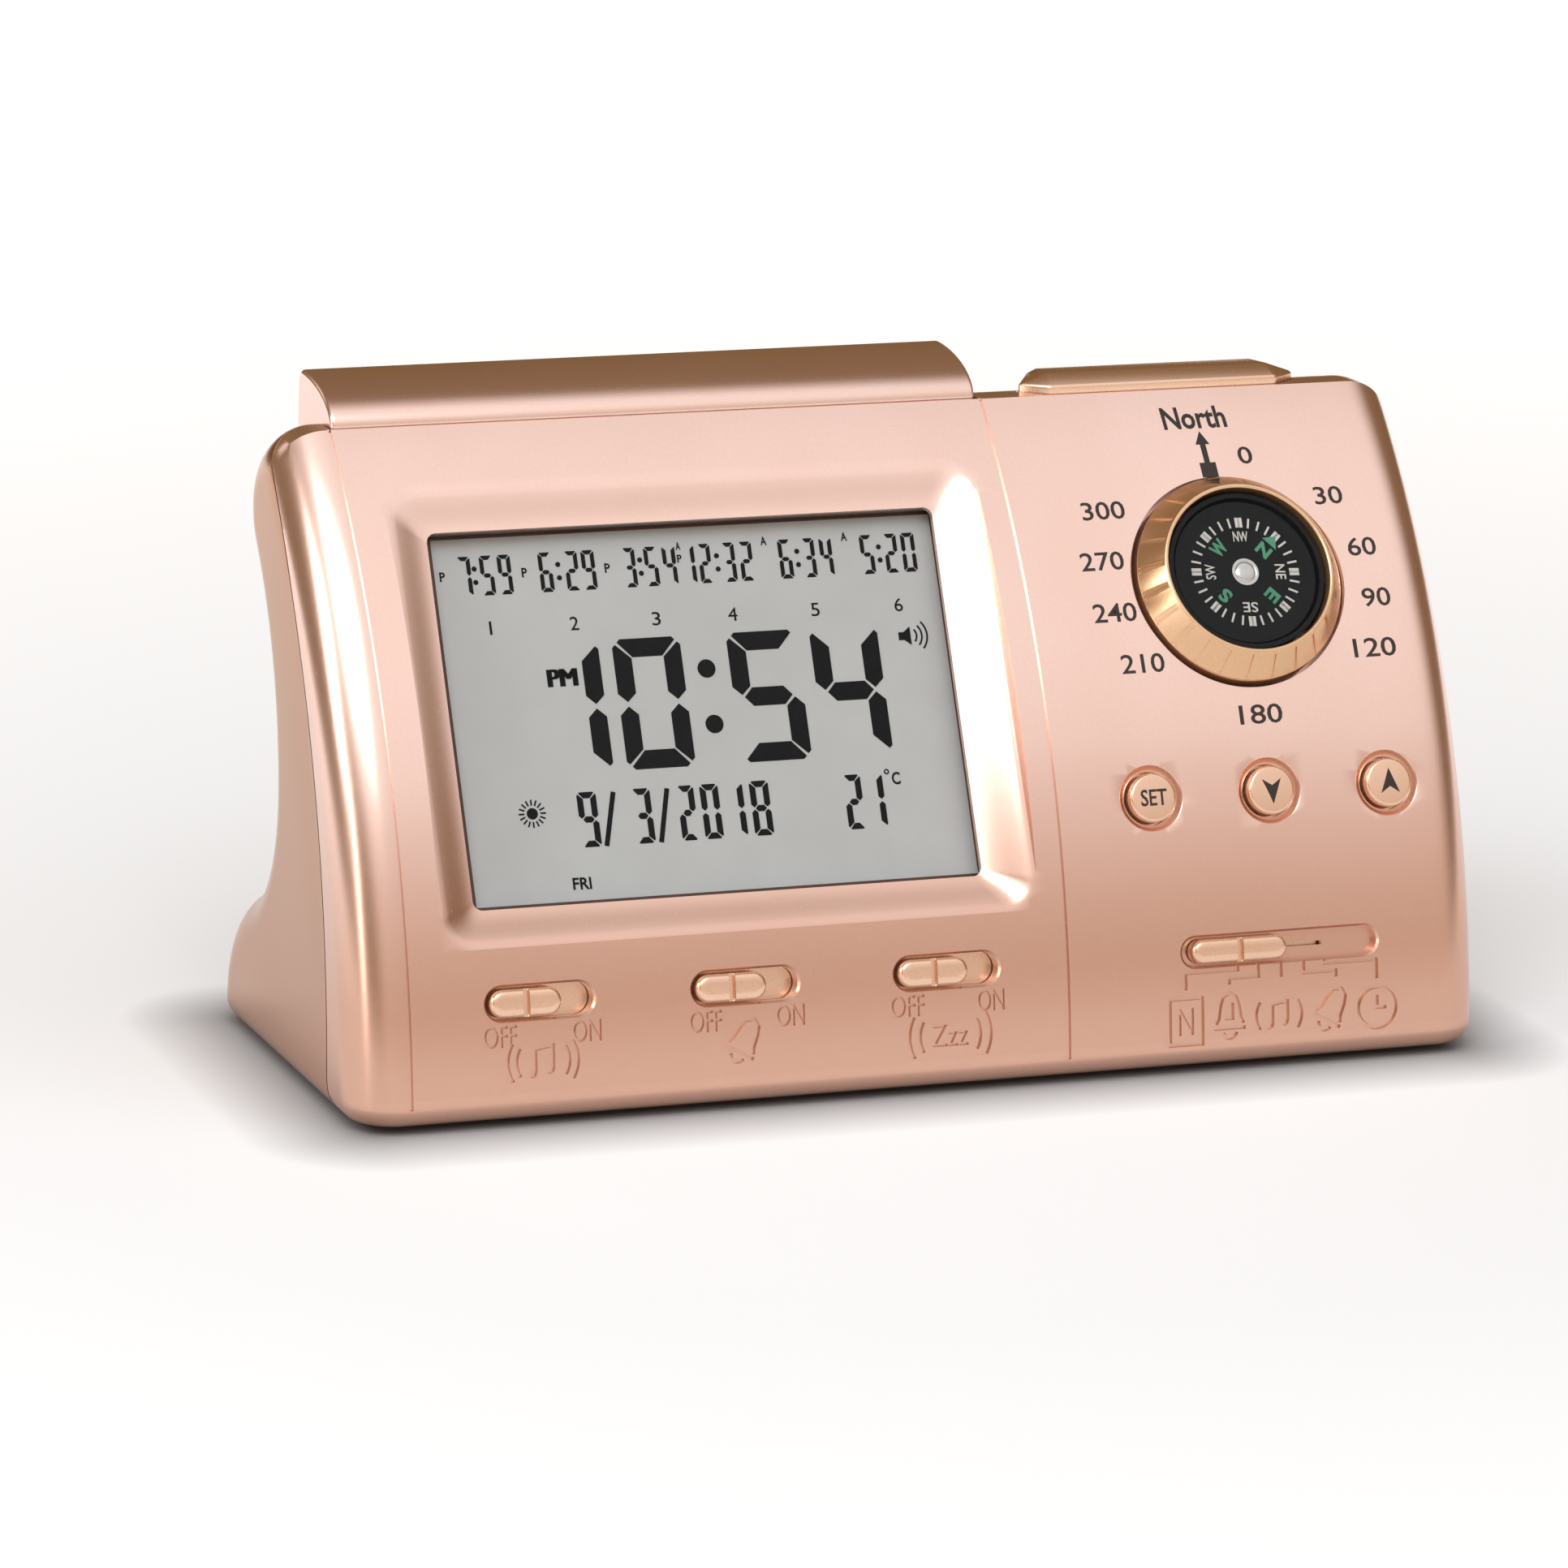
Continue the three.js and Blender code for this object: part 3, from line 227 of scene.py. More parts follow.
def turned(name, pairs, sides=96):
    # [radius, height] pairs from the axis and back to it, or a closed ring of them
    rings = []
    for radius, height in pairs:
        rings.append([
            (radius * math.cos(math.tau * i / sides), radius * math.sin(math.tau * i / sides),
             height) for i in range(sides)])
    if pairs[0][0] == 0 and pairs[-1][0] == 0:
        return loft(name, rings[1:-1], (0, 0, pairs[0][1]), (0, 0, pairs[-1][1]))
    count = len(pairs)
    faces = []
    for ring in range(count):
        for i in range(sides):
            a, b = ring * sides + i, ring * sides + (i + 1) % sides
            c = (ring + 1) % count * sides
            faces.append((a, b, c + (i + 1) % sides, c + i))
    return solid(name, [point for ring in rings for point in ring], faces)


def arcOf(centre, radius, start, end, steps):
    angles = [start + (end - start) * i / steps for i in range(steps + 1)]
    return [(centre[0] + radius * math.cos(a), centre[1] + radius * math.sin(a)) for a in angles]


def roundedOutline(width, height, radius, steps=8):
    x, y = width / 2 - radius, height / 2 - radius
    corners = [(x, y), (-x, y), (-x, -y), (x, -y)]
    return [point for i, corner in enumerate(corners) for point in arcOf(
        corner, radius, i * math.pi / 2, (i + 1) * math.pi / 2, steps)]


def finishPiece(piece, name, material, body, replaced=(), angle=32):
    piece.name = name
    piece.data.name = name
    piece.data.transform(Matrix.Scale(mm, 4))
    piece.data.materials.clear()
    piece.data.materials.append(material)
    for polygon in piece.data.polygons:
        polygon.material_index = 0
    piece.data.shade_smooth()
    piece.data.set_sharp_from_angle(angle=math.radians(angle))
    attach(piece, body)
    if replaced:
        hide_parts(*replaced)
    return piece


# flat shapes are (points, faces) in two dimensions, raised or sunk by a placing function
def shapeOf(outlines):
    points, faces = [], []
    for outline in outlines:
        faces.append(tuple(range(len(points), len(points) + len(outline))))
        points += outline
    return points, faces


def wordShape(words, x0, x1, y0, y1, bold=0.0):
    # a word fitted to a box
    curve = bpy.data.curves.new("words", "FONT")
    curve.body = words
    curve.offset = bold
    curve.resolution_u = 3
    holder = bpy.data.objects.new("words", curve)
    bpy.context.scene.collection.objects.link(holder)
    depsgraph = bpy.context.evaluated_depsgraph_get()
    mesh = bpy.data.meshes.new_from_object(holder.evaluated_get(depsgraph))
    flat = bmesh.new()
    flat.from_mesh(mesh)
    bmesh.ops.remove_doubles(flat, verts=flat.verts, dist=1e-5)
    points = [(v.co.x, v.co.y) for v in flat.verts]
    faces = [tuple(v.index for v in face.verts) for face in flat.faces]
    flat.free()
    bpy.data.objects.remove(holder)
    bpy.data.curves.remove(curve)
    bpy.data.meshes.remove(mesh)
    low = [min(point[k] for point in points) for k in (0, 1)]
    high = [max(point[k] for point in points) for k in (0, 1)]
    fit = [(x1 - x0) / (high[0] - low[0]), (y1 - y0) / (high[1] - low[1])]
    return [(x0 + (x - low[0]) * fit[0], y0 + (y - low[1]) * fit[1]) for x, y in points], faces


def ribbon(path, width, closed=False):
    # a line of even width, as one quad for each stretch; sharp mitres are held back
    sharpest = 0.45
    count = len(path)
    points = [Vector(point) for point in path]
    sides = []
    for i in range(count):
        before = points[i] - points[i - 1] if closed or i > 0 else points[1] - points[0]
        after = points[(i + 1) % count] - points[i] if closed or i < count - 1 else before
        before, after = before.normalized(), after.normalized()
        across = Vector((-before.y - after.y, before.x + after.x)).normalized()
        reach = width / 2 / max(sharpest, across.dot(Vector((-after.y, after.x))))
        sides += [tuple(points[i] + across * reach), tuple(points[i] - across * reach)]
    faces = []
    for i in range(count if closed else count - 1):
        a, b = 2 * i, 2 * ((i + 1) % count)
        faces.append((a, a + 1, b + 1, b))
    return sides, faces


def ringShape(centre, radius, width, start=0.0, end=math.tau, steps=28):
    whole = abs(end - start - math.tau) < 1e-6
    path = arcOf(centre, radius, start, end, steps)
    return ribbon(path[:-1] if whole else path, width, whole)


def disc(centre, radius, steps=28):
    return shapeOf([arcOf(centre, radius, 0, math.tau, steps)[:-1]])


def turnedShape(shape, centre, angle, scale=1.0):
    c, s = math.cos(angle) * scale, math.sin(angle) * scale
    return [(centre[0] + c * x - s * y, centre[1] + s * x + c * y) for x, y in shape[0]], shape[1]


def raised(name, shape, place, low, high):
    # a flat shape made solid between two heights over the surface that place() gives
    flat, faces = shape
    count = len(flat)
    points = [place(x, y, high) for x, y in flat] + [place(x, y, low) for x, y in flat]
    edges = {}
    for face in faces:
        for a, b in zip(face, face[1:] + face[:1]):
            edges[(a, b)] = edges.get((a, b), 0) + 1
    allFaces = list(faces) + [tuple(count + i for i in reversed(face)) for face in faces]
    for a, b in edges:
        if (b, a) not in edges:
            allFaces.append((b, a, a + count, b + count))
    return solid(name, points, allFaces)


print("helpers ready")


paintGrain = {
    "flakes": 5200, "drift": 34, "driftStretch": (1, 1, 0.45), "skin": 900,
    "driftRange": (0.35, 0.68), "driftShare": 0.45, "flakeRange": (0.3, 0.72),
    "footShadeRange": (0.015, 0.042), "roughSpread": 0.09, "coat": 0.22, "coatRoughness": 0.16,
    "skinShare": 0.8, "flakeShare": 0.2, "bump": 0.035, "bumpHeight": 0.00003,
}


def metallicPaint(name, tone, deep, roughness, metal, flake, foot=None):
    # champagne metallic paint: fine flakes, slow drifts of tone, a faint skin on the moulding,
    # and on the front shell painted shade: a deeper, warmer tone towards the foot
    paint = Shader(name)
    flakes = paint.noise(paintGrain["flakes"], 1.0)
    drift = paint.noise(paintGrain["drift"], 3.0, paintGrain["driftStretch"])
    skin = paint.noise(paintGrain["skin"], 2.0)
    tint = paint.blend(
        drift.over(*paintGrain["driftRange"]) * paintGrain["driftShare"]
        + flakes.over(*paintGrain["flakeRange"]) * flake, tone, deep)
    # painted shade: the tone goes deeper and warmer towards the foot
    if foot:
        height = paint.node("SeparateXYZ", None, [paint.spot()], 2)
        tint = paint.blend(height.over(*paintGrain["footShadeRange"]), foot, tint)
    relief = skin * paintGrain["skinShare"] + flakes * paintGrain["flakeShare"]
    spread = paintGrain["roughSpread"]
    return paint.finish(
        Base_Color=tint, Metallic=metal, Roughness=roughness + flakes * spread - spread / 2,
        Coat_Weight=paintGrain["coat"], Coat_Roughness=paintGrain["coatRoughness"],
        Normal=paint.bump(relief, paintGrain["bump"], paintGrain["bumpHeight"]))


plasticGrain = {
    "drift": 60, "driftRange": (0.3, 0.7), "driftShare": 0.6, "grainShare": 0.3,
    "roughSpread": 0.12, "bumpHeight": 0.00005,
}


def plainPlastic(name, tone, deep, roughness, coarse=700, strength=0.12, shine=0.5):
    plastic = Shader(name)
    grain = plastic.noise(coarse, 3.0)
    drift = plastic.noise(plasticGrain["drift"], 2.0)
    spread = plasticGrain["roughSpread"]
    return plastic.finish(
        Base_Color=plastic.blend(
            drift.over(*plasticGrain["driftRange"]) * plasticGrain["driftShare"]
            + grain * plasticGrain["grainShare"], tone, deep),
        Roughness=grain * spread + (roughness - spread / 2), Specular_IOR_Level=shine,
        Normal=plastic.bump(grain, strength, plasticGrain["bumpHeight"]))


metalGrain = {
    "lines": 420, "stretch": (1, 1, 30), "spots": 150, "lineRange": (0.3, 0.7),
    "lineShare": 0.5, "spotShare": 0.3, "roughSpread": 0.15, "bump": 0.08,
    "bumpHeight": 0.00003,
}


def brushedMetal(name, tone, deep, roughness):
    metal = Shader(name)
    lines = metal.noise(metalGrain["lines"], 4.0, metalGrain["stretch"])
    spots = metal.noise(metalGrain["spots"], 2.0)
    return metal.finish(
        Base_Color=metal.blend(
            lines.over(*metalGrain["lineRange"]) * metalGrain["lineShare"]
            + spots * metalGrain["spotShare"], tone, deep),
        Metallic=1.0, Roughness=roughness + lines * metalGrain["roughSpread"] - 0.07,
        Normal=metal.bump(lines, metalGrain["bump"], metalGrain["bumpHeight"]))


def clearPlastic(name, alpha):
    clear = Shader(name)
    haze = clear.noise(240, 2.0)
    return clear.finish(
        Base_Color=(0.04, 0.045, 0.045, 1), Roughness=haze * 0.04 + 0.04,
        Alpha=haze * 0.02 + alpha, IOR=1.49, Specular_IOR_Level=0.15)


looks = {
    # the front shell's paint; its last colour is painted shade towards the foot
    "casePaint": metallicPaint(
        "casePaint", colour(249, 217, 206), colour(240, 202, 187), 0.25, 0.9, 0.25,
        colour(222, 178, 157)),
    # painted shade: the case's paint in a deeper tone, for the rear shell, the battery lid and its
    # grip
    "shadedCoverPaint": metallicPaint(
        "shadedCoverPaint", colour(198, 149, 119), colour(189, 139, 108), 0.25, 0.9, 0.25),
    "keyPaint": metallicPaint(
        "keyPaint", colour(244, 206, 180), colour(236, 194, 166), 0.26, 0.9, 0.2),
    "bezelGold": metallicPaint(
        "bezelGold", colour(238, 198, 160), colour(216, 170, 126), 0.22, 0.85, 0.3),
    "printBlack": plainPlastic(
        "printBlack", colour(34, 26, 24), colour(48, 36, 32), 0.45, 1500, 0.05),
    "dialBlack": plainPlastic(
        "dialBlack", colour(10, 12, 15), colour(17, 20, 24), 0.3, 700, 0.1, 0.2),
    "dialWhite": plainPlastic(
        "dialWhite", colour(232, 234, 232), colour(205, 208, 206), 0.5, 1500, 0.05),
    "dialGreen": plainPlastic(
        "dialGreen", colour(92, 172, 140), colour(70, 146, 116), 0.5, 1500, 0.05),
    "displayGray": plainPlastic(
        "displayGray", colour(192, 199, 202), colour(186, 192, 195), 0.22, 1200, 0.03, 0.2),
    "displayInk": plainPlastic(
        "displayInk", colour(8, 8, 10), colour(18, 18, 20), 0.3, 700, 0.12, 0.15),
    "displayEdge": plainPlastic("displayEdge", colour(70, 48, 34), colour(88, 60, 44), 0.5),
    "whitePlastic": plainPlastic("whitePlastic", colour(226, 222, 212), colour(214, 209, 198), 0.5),
    "blackPlastic": plainPlastic("blackPlastic", colour(30, 31, 32), colour(42, 43, 44), 0.5),
    "softRubber": plainPlastic("softRubber", colour(38, 38, 38), colour(52, 51, 50), 0.85, 900, 0.3),
    "conePaper": plainPlastic("conePaper", colour(56, 53, 49), colour(74, 70, 64), 0.9, 1400, 0.5),
    "brightSteel": brushedMetal("brightSteel", colour(206, 207, 210), colour(176, 177, 181), 0.28),
    "hubSteel": brushedMetal("hubSteel", colour(236, 236, 234), colour(200, 200, 198), 0.22),
    "turnedBrass": brushedMetal("turnedBrass", colour(206, 168, 92), colour(178, 140, 70), 0.26),
    "tanPlastic": plainPlastic("tanPlastic", colour(206, 160, 136), colour(186, 140, 116), 0.5),
    "clearDome": clearPlastic("clearDome", 0.05),
    "clearLens": clearPlastic("clearLens", 0.02),
}
print("finishes ready:", len(looks))

case = {
    "width": 150.0, "depth": 60.0, "top": 80.0, "lift": 1.0, "wall": 2.0,
    "endRound": 6.5, "bottomRound": 2.5, "strip": 2.97, "frontDrop": 8.5, "frontLowest": 3.5,
    "topRearRadius": 11.0, "waistRadius": 43.5, "waistHeight": 35.0, "waistInset": 21.2,
    "footHeight": 3.3, "jointInset": 11.9, "jointUpright": 3.0, "jointLag": 2.9,
    "jointRound": 3.5, "jointLip": 0.8, "tongue": 6.0, "gap": 0.3, "lineDepth": 0.35,
    "lineWidth": 0.4, "edge": 0.28, "stations": 57, "barAhead": 2.306,
    "profileSteps": (64, 28, 22, 20, 24),
    "reach": 4, "past": 2,  # how far the cutting shapes go beyond what they cut
    "proud": 0.05,  # a hair above the surface, for clean cuts
}
halfWidth, halfDepth = case["width"] / 2, case["depth"] / 2
gap = case["gap"]
waistY = halfDepth - case["waistInset"]
topRearZ = case["top"] - case["topRearRadius"]
topRearReach = math.sqrt(
    (case["waistRadius"] + case["topRearRadius"]) ** 2 - (topRearZ - case["waistHeight"]) ** 2)
topRearY = waistY + case["waistRadius"] - topRearReach
lowRise = case["frontLowest"] + case["frontDrop"]
frontReach = topRearY - case["strip"] + halfDepth
frontFlat = (frontReach + ((case["top"] + case["frontDrop"]) ** 2 - lowRise ** 2) / frontReach) / 2
frontRadius = math.hypot(frontFlat, lowRise)
frontCentreY = frontFlat - halfDepth
jointFoot = case["jointInset"] - halfDepth
jointReach = topRearY + case["jointLag"] - jointFoot
jointRadius = (jointReach ** 2 + (case["top"] - case["jointUpright"]) ** 2) / (2 * jointReach)
barFront = topRearY - case["barAhead"]


def frontLean(z):
    return math.asin((z + case["frontDrop"]) / frontRadius)


def frontY(z):
    return frontCentreY - frontRadius * math.cos(frontLean(z))


def jointY(z):
    return jointFoot + jointRadius - math.sqrt(
        jointRadius ** 2 - (z - case["jointUpright"]) ** 2)


def tiltedFrame(x, y, z, lean):
    # X to the right, Y up along the surface, Z out of it
    return Matrix((
        (1, 0, 0, x), (0, math.sin(lean), -math.cos(lean), y),
        (0, math.cos(lean), math.sin(lean), z), (0, 0, 0, 1)))


def panelFrame(x, z):
    return tiltedFrame(x, frontY(z), z, frontLean(z))


def onPanel(x, along, height):
    # along is the arc length on the panel, measured as on the label layout
    lean, radius = along / frontRadius, frontRadius + height
    return Vector((
        x, frontCentreY - radius * math.cos(lean), radius * math.sin(lean) - case["frontDrop"]))


def onFrame(matrix):
    return lambda x, y, height: matrix @ Vector((x, y, height))


def sideProfile(inset, bottom):
    # the case's outline from the left: panel, rounded top, concave waist and foot
    panelSteps, topSteps, upperSteps, lowerSteps, footSteps = case["profileSteps"]
    low, front = frontLean(case["frontLowest"]), frontRadius - inset
    high = min(
        math.asin((case["top"] - inset + case["frontDrop"]) / front),
        math.acos((frontCentreY - topRearY) / front))
    touch = math.atan2(case["waistHeight"] - topRearZ, topRearReach)
    sweepRise = case["waistHeight"] - case["footHeight"]
    sweep = (case["waistInset"] ** 2 + sweepRise ** 2) / (4 * case["waistInset"])
    bend = math.atan2(-sweepRise, case["waistInset"] - 2 * sweep)
    waistRadius, waistHeight = case["waistRadius"], case["waistHeight"]
    panel = arcOf(
        (frontCentreY, -case["frontDrop"]), front, math.pi - low, math.pi - high, panelSteps)
    top = arcOf(
        (topRearY, topRearZ), case["topRearRadius"] - inset, math.pi / 2, touch, topSteps)
    upper = arcOf((waistY + waistRadius, waistHeight), waistRadius + inset, touch + math.pi,
                  math.pi, upperSteps)
    lower = arcOf(
        (waistY + sweep, waistHeight), sweep + inset, math.pi, math.tau + bend, lowerSteps)
    foot = arcOf(
        (halfDepth - sweep, case["footHeight"]), sweep - inset, bend + math.pi, 0, footSteps)
    return [(frontCentreY - front * math.cos(low), bottom), *panel, *top, *upper[1:],
            *lower[1:], *foot[1:], (halfDepth - inset, bottom)]


def caseForm(name, inset, steps=12):
    # the whole case, or the same form a given distance inside it
    turn = case["endRound"] - inset
    half = halfWidth - inset
    bottom = case["lift"] + inset
    ends = []
    for i in range(steps + 1):
        angle = i * math.pi / (2 * steps)
        ends.append((turn * (1 - math.cos(angle)) - half, sideProfile(
            inset + turn * (1 - math.sin(angle)), bottom - 2 * case["endRound"])))
    flat = 2 * (half - turn)
    middle = [turn - half + flat * i / case["stations"] for i in range(1, case["stations"])]
    ends += [(x, ends[-1][1]) for x in middle if inset == 0 and x < 0]
    rings = [[(x, y, z) for y, z in profile] for x, profile in ends]
    rings += [[(-x, y, z) for y, z in profile] for x, profile in reversed(ends)]
    sides = loft(name, rings)
    edge, edgeSteps = case["bottomRound"] if inset == 0 else 0, 8
    levels = [(0, bottom)]
    if edge:
        angles = [i * math.pi / (2 * edgeSteps) for i in range(edgeSteps + 1)]
        levels = [
            (edge * (1 - math.sin(a)), bottom + edge * (1 - math.cos(a))) for a in angles]
    plan = [[(x, y, z) for x, y in roundedOutline(
        2 * (half - level), case["depth"] - 2 * (inset + level), turn - level, 12)]
        for level, z in levels + [(0, case["top"] + case["reach"])]]
    return combine(sides, [loft("plan", plan)], "INTERSECT")


def jointZone(name, shift):
    # everything in front of the joint between the two shells
    reach, steps = case["reach"], 60
    top, bend = case["top"] + reach, case["lift"] + case["jointLip"] + case["jointRound"]
    turn = case["jointRound"] - shift
    heights = [top + (bend - top) * i / steps for i in range(steps + 1)]
    line = [(jointY(height) - shift, height) for height in heights]
    corner = arcOf((jointFoot - case["jointRound"], bend), turn, 0, -math.pi / 2, 10)
    tongue = case["tongue"] - halfDepth - shift
    outline = [*line, *corner[1:], (tongue, bend - turn), (tongue, -reach),
               (-halfDepth - reach, -reach), (-halfDepth - reach, top)]
    zone = alongX(name, outline, -halfWidth - reach, halfWidth + reach)
    radius, foot = compass["wellRadius"] + gap - shift, shift - compass["wellJoint"]
    well = turned("well", [(0, foot), (radius, foot), (radius, 0), (0, 0)])
    return combine(zone, [placed(well, compassFrame)], "UNION")


window = {
    "x": -24.8, "z": 47.1, "tilt": 0.0056, "sink": 4.7, "width": 66.4, "height": 47.3,
    "corner": 1.2, "lip": 0.8, "side": (5.35, 5.45), "shift": (0.35, 2.7), "mouthCorner": 4.0,
    "wall": 1.6, "roll": 0.12, "slopeSteps": 14, "softShare": 12, "above": (5, 22),
    "frameWidth": 74.4, "frameHeight": 55.3, "frameBack": -10.2, "frameFront": -1.1,
}
windowLean = frontLean(window["z"]) - window["tilt"]
windowFrame = tiltedFrame(
    window["x"], frontY(window["z"]) + window["sink"] / math.cos(windowLean), window["z"],
    windowLean)
compass = {
    "x": 46.75, "z": 58.9, "outer": 13.9, "inner": 10.8, "crown": 11.4, "rise": 4.2,
    "shoulder": 0.6, "wellDepth": 6.5, "wellRadius": 15.7, "wellJoint": 9.5, "wellZone": 8.0,
    "wellRim": 0.3, "ticks": 24,
}
compassFrame = panelFrame(compass["x"], compass["z"])
buttons = {
    "x": 46.75, "pitch": 16.1, "z": 34.45, "radius": 3.1, "rise": 1.0, "dish": 4.3,
    "dishDepth": 0.7, "dishSteps": 8, "flange": -2.3, "flangeLow": -3.2, "flangeOut": 1.2,
    "edge": 0.45, "crown": 0.12, "print": (0.12, 0.02),
}
buttonXs = [buttons["x"] + step * buttons["pitch"] for step in (-1, 0, 1)]
slides = {
    "z": 15.6, "xs": {"chime": -51.2, "alarm": -24.7, "snooze": 1.8}, "slot": (13.8, 4.1),
    "knob": 9.2, "rise": 0.9, "edge": 0.75, "flat": 1.15, "notch": (0.8, 0.6), "start": -2.0,
    "low": -3.0, "flare": 0.3, "shutter": (18.0, 6.5, -3.2, -2.3),
    "modeX": 46.7, "modeSlot": (26.6, 3.7), "modeDepth": 1.3, "modeKnob": 12.9,
    "modeKnobX": 40.95, "modeSlit": (12.3, 0.5), "modePin": (-0.3, 0.3, -0.15, 0.15, -2.6, -0.8),
    "modeShutter": (23.5, 0.8, -2.7, -2.4),
}
snoozeBar = {
    "left": -67.5, "right": 17.5, "rise": 5.0, "sweep": 12.5, "crown": 1.5, "drop": 2.5,
    "skirt": 8.0, "travel": 1.2, "rebate": 2.0, "wall": 1.5, "endRound": 0.6,
    "legIn": 5, "legHalf": 2.5, "legBack": 6.6, "legThick": 1.2, "barb": 2.0,
}
topKey = {
    "left": 24.3, "right": 62.2, "tip": 3.4, "ridgeIn": 4.0, "band": 1.0, "rise": 2.35,
    "ridgeBack": 2.4, "depth": 8.4, "skirt": 6.0, "rearDrop": 0.35, "rearIn": 1.5,
    "soft": 0.28, "travel": 1.3,
}
grille = {"x": 42.0, "z": 35.0, "slots": 7, "pitch": 3.6, "slot": 1.6, "reach": 13.44}
screws = {
    "x": 67.5, "zs": (12.0, 62.0), "seat": 5.0, "head": 2.6, "thick": 2.0, "neck": 1.4,
    "column": 4.2, "crossLong": 1.45, "crossWide": 0.3, "crossDeep": 0.9,
}
feet = {"x": 67.0, "ys": (-14.0, 20.0), "radius": 4.0, "height": 1.8, "edge": 0.5}
door = {
    "left": -62.1, "right": -7.6, "front": -6.1, "plate": 2.2, "upstandY": 24.0, "upstand": 8.0,
    "bayLeft": -60.5, "bayRight": -9.2, "bayFront": -4.5, "bayBack": 17.4, "bayTop": 14.1,
    "bayWall": 1.2, "gripCuts": 5, "gripPitch": 0.9, "gripLow": 3.4,
    "groove": (-9, 9, -1, 1, -0.22, 0.22), "arrowY": 14,
}


def mouthRing(grow, lift):
    # the recess's mouth, on the curved panel
    width = window["width"] + 2 * (window["side"][0] + grow)
    height = window["height"] + 2 * (window["side"][1] + grow)
    across = window["x"] + window["shift"][0]
    middle = frontRadius * frontLean(window["z"]) + window["shift"][1]
    return [onPanel(across + x, middle + y, lift) for x, y in roundedOutline(
        width, height, window["mouthCorner"] + grow)]


def bottomRing(grow, z):
    return [windowFrame @ Vector((x, y, z)) for x, y in roundedOutline(
        window["width"] + 2 * grow, window["height"] + 2 * grow, window["corner"] + grow)]


def recessForm(name, grow, bottom, depth):
    # sloping sides that roll in from the mouth and level out towards the screen
    edge, fall, steps = case["edge"], window["sink"], window["slopeSteps"]
    above, cap = window["above"]
    mouth, floor = mouthRing(grow, 0), bottomRing(grow, bottom)
    outwards = windowFrame.to_3x3() @ Vector((0, 0, 1))
    rings = [mouthRing(grow + edge, above), mouthRing(grow + edge, 0.02)]
    for i in range(1, steps + 1):
        share = i / steps
        eased = share + (0.5 - 0.5 * math.cos(math.pi * share) - share) * window["roll"]
        soft = edge * max(0.0, 1 - share * window["softShare"])
        rings.append([a.lerp(b, share) + outwards * (fall * (share - eased) - soft)
                      for a, b in zip(mouth, floor)])
    if depth:
        rings.append(bottomRing(grow, bottom - depth))
    top = windowFrame @ Vector((0, 0, cap))
    low = windowFrame @ Vector((0, 0, bottom - depth - (0 if depth else 0.01)))
    return loft(name, rings, top, low)


def frameBlock(name, grow, front):
    w, h = window["frameWidth"] / 2 + grow, window["frameHeight"] / 2 + grow
    return placed(block(name, -w, w, -h, h, window["frameBack"] - grow, front), windowFrame)


def postY(name, radius, x, y0, y1, z, sides=48):
    post = turned(name, [(0, y0), (radius, y0), (radius, y1), (0, y1)], sides)
    return placed(post, Matrix.Translation((x, 0, z)) @ Matrix.Rotation(-math.pi / 2, 4, "X"))


def pill(name, length, height, low, high):
    return prism(name, roundedOutline(length, height, height / 2, 12), low, high)


def flaredPill(name, length, height, low, edge):
    levels = [(0, low), (0, -edge), (edge, 0.01), (edge, 3)]
    return loft(name, [[(x, y, z) for x, y in roundedOutline(
        length + 2 * grow, height + 2 * grow, height / 2 + grow, 12)] for grow, z in levels])


def barRebate(name, grow):
    low = case["top"] - snoozeBar["skirt"] - snoozeBar["travel"] - gap - grow
    return block(
        name, snoozeBar["left"] - gap - grow, snoozeBar["right"] + gap + grow,
        barFront - gap - grow, halfDepth, low, case["top"] + 3)


def keyOutline(grow):
    x0, x1 = topKey["left"] - grow, topKey["right"] + grow
    y0, y1 = barFront - grow, barFront + topKey["depth"] + grow
    ridge, tip = barFront + topKey["ridgeBack"], topKey["tip"]
    return [(x0, ridge), (x0 + tip, y0), (x1 - tip, y0), (x1, ridge), (x1 - tip, y1),
            (x0 + tip, y1)]


def keyRebate(name, grow):
    return prism(
        name, keyOutline(gap + grow), case["top"] - topKey["depth"] - grow, case["top"] + 3)


def wellCut():
    # the compass's well, with its rim taken off
    well, rim, deep = compass["outer"] + gap, compass["wellRim"], compass["wellDepth"]
    proud, reach = case["proud"], case["reach"]
    return placed(turned("well", [
        (0, -deep), (well, -deep), (well, proud - rim), (well + rim, proud), (well + rim, reach),
        (0, reach)]), compassFrame)


def boreCut(x):
    # a button's bore, at the foot of a shallow dish
    bore, dish, deep = buttons["radius"] + gap, buttons["dish"], buttons["dishDepth"]
    proud, reach, steps = case["proud"], case["reach"], buttons["dishSteps"]
    curve = [(bore + (dish - bore) * i / steps, -deep * math.cos(i * math.pi / (
        2 * steps)) ** 1.5) for i in range(steps + 1)]
    return placed(turned("bore", [
        (0, -reach), (bore, -reach), *curve, (dish + proud, proud), (dish + proud, 2), (0, 2)],
        72), panelFrame(x, buttons["z"]))


def slideCuts():
    reach, flare = case["reach"], slides["flare"]
    cuts = [placed(flaredPill("slot", *slides["slot"], -reach, flare), panelFrame(x, slides["z"]))
            for x in slides["xs"].values()]
    modeFrame = panelFrame(slides["modeX"], slides["z"])
    cuts.append(placed(flaredPill(
        "modeSlot", *slides["modeSlot"], -slides["modeDepth"], flare), modeFrame))
    w, h = (size / 2 for size in slides["modeSlit"])
    cuts.append(placed(block("slit", -w, w, -h, h, -reach, 0), modeFrame))
    return cuts


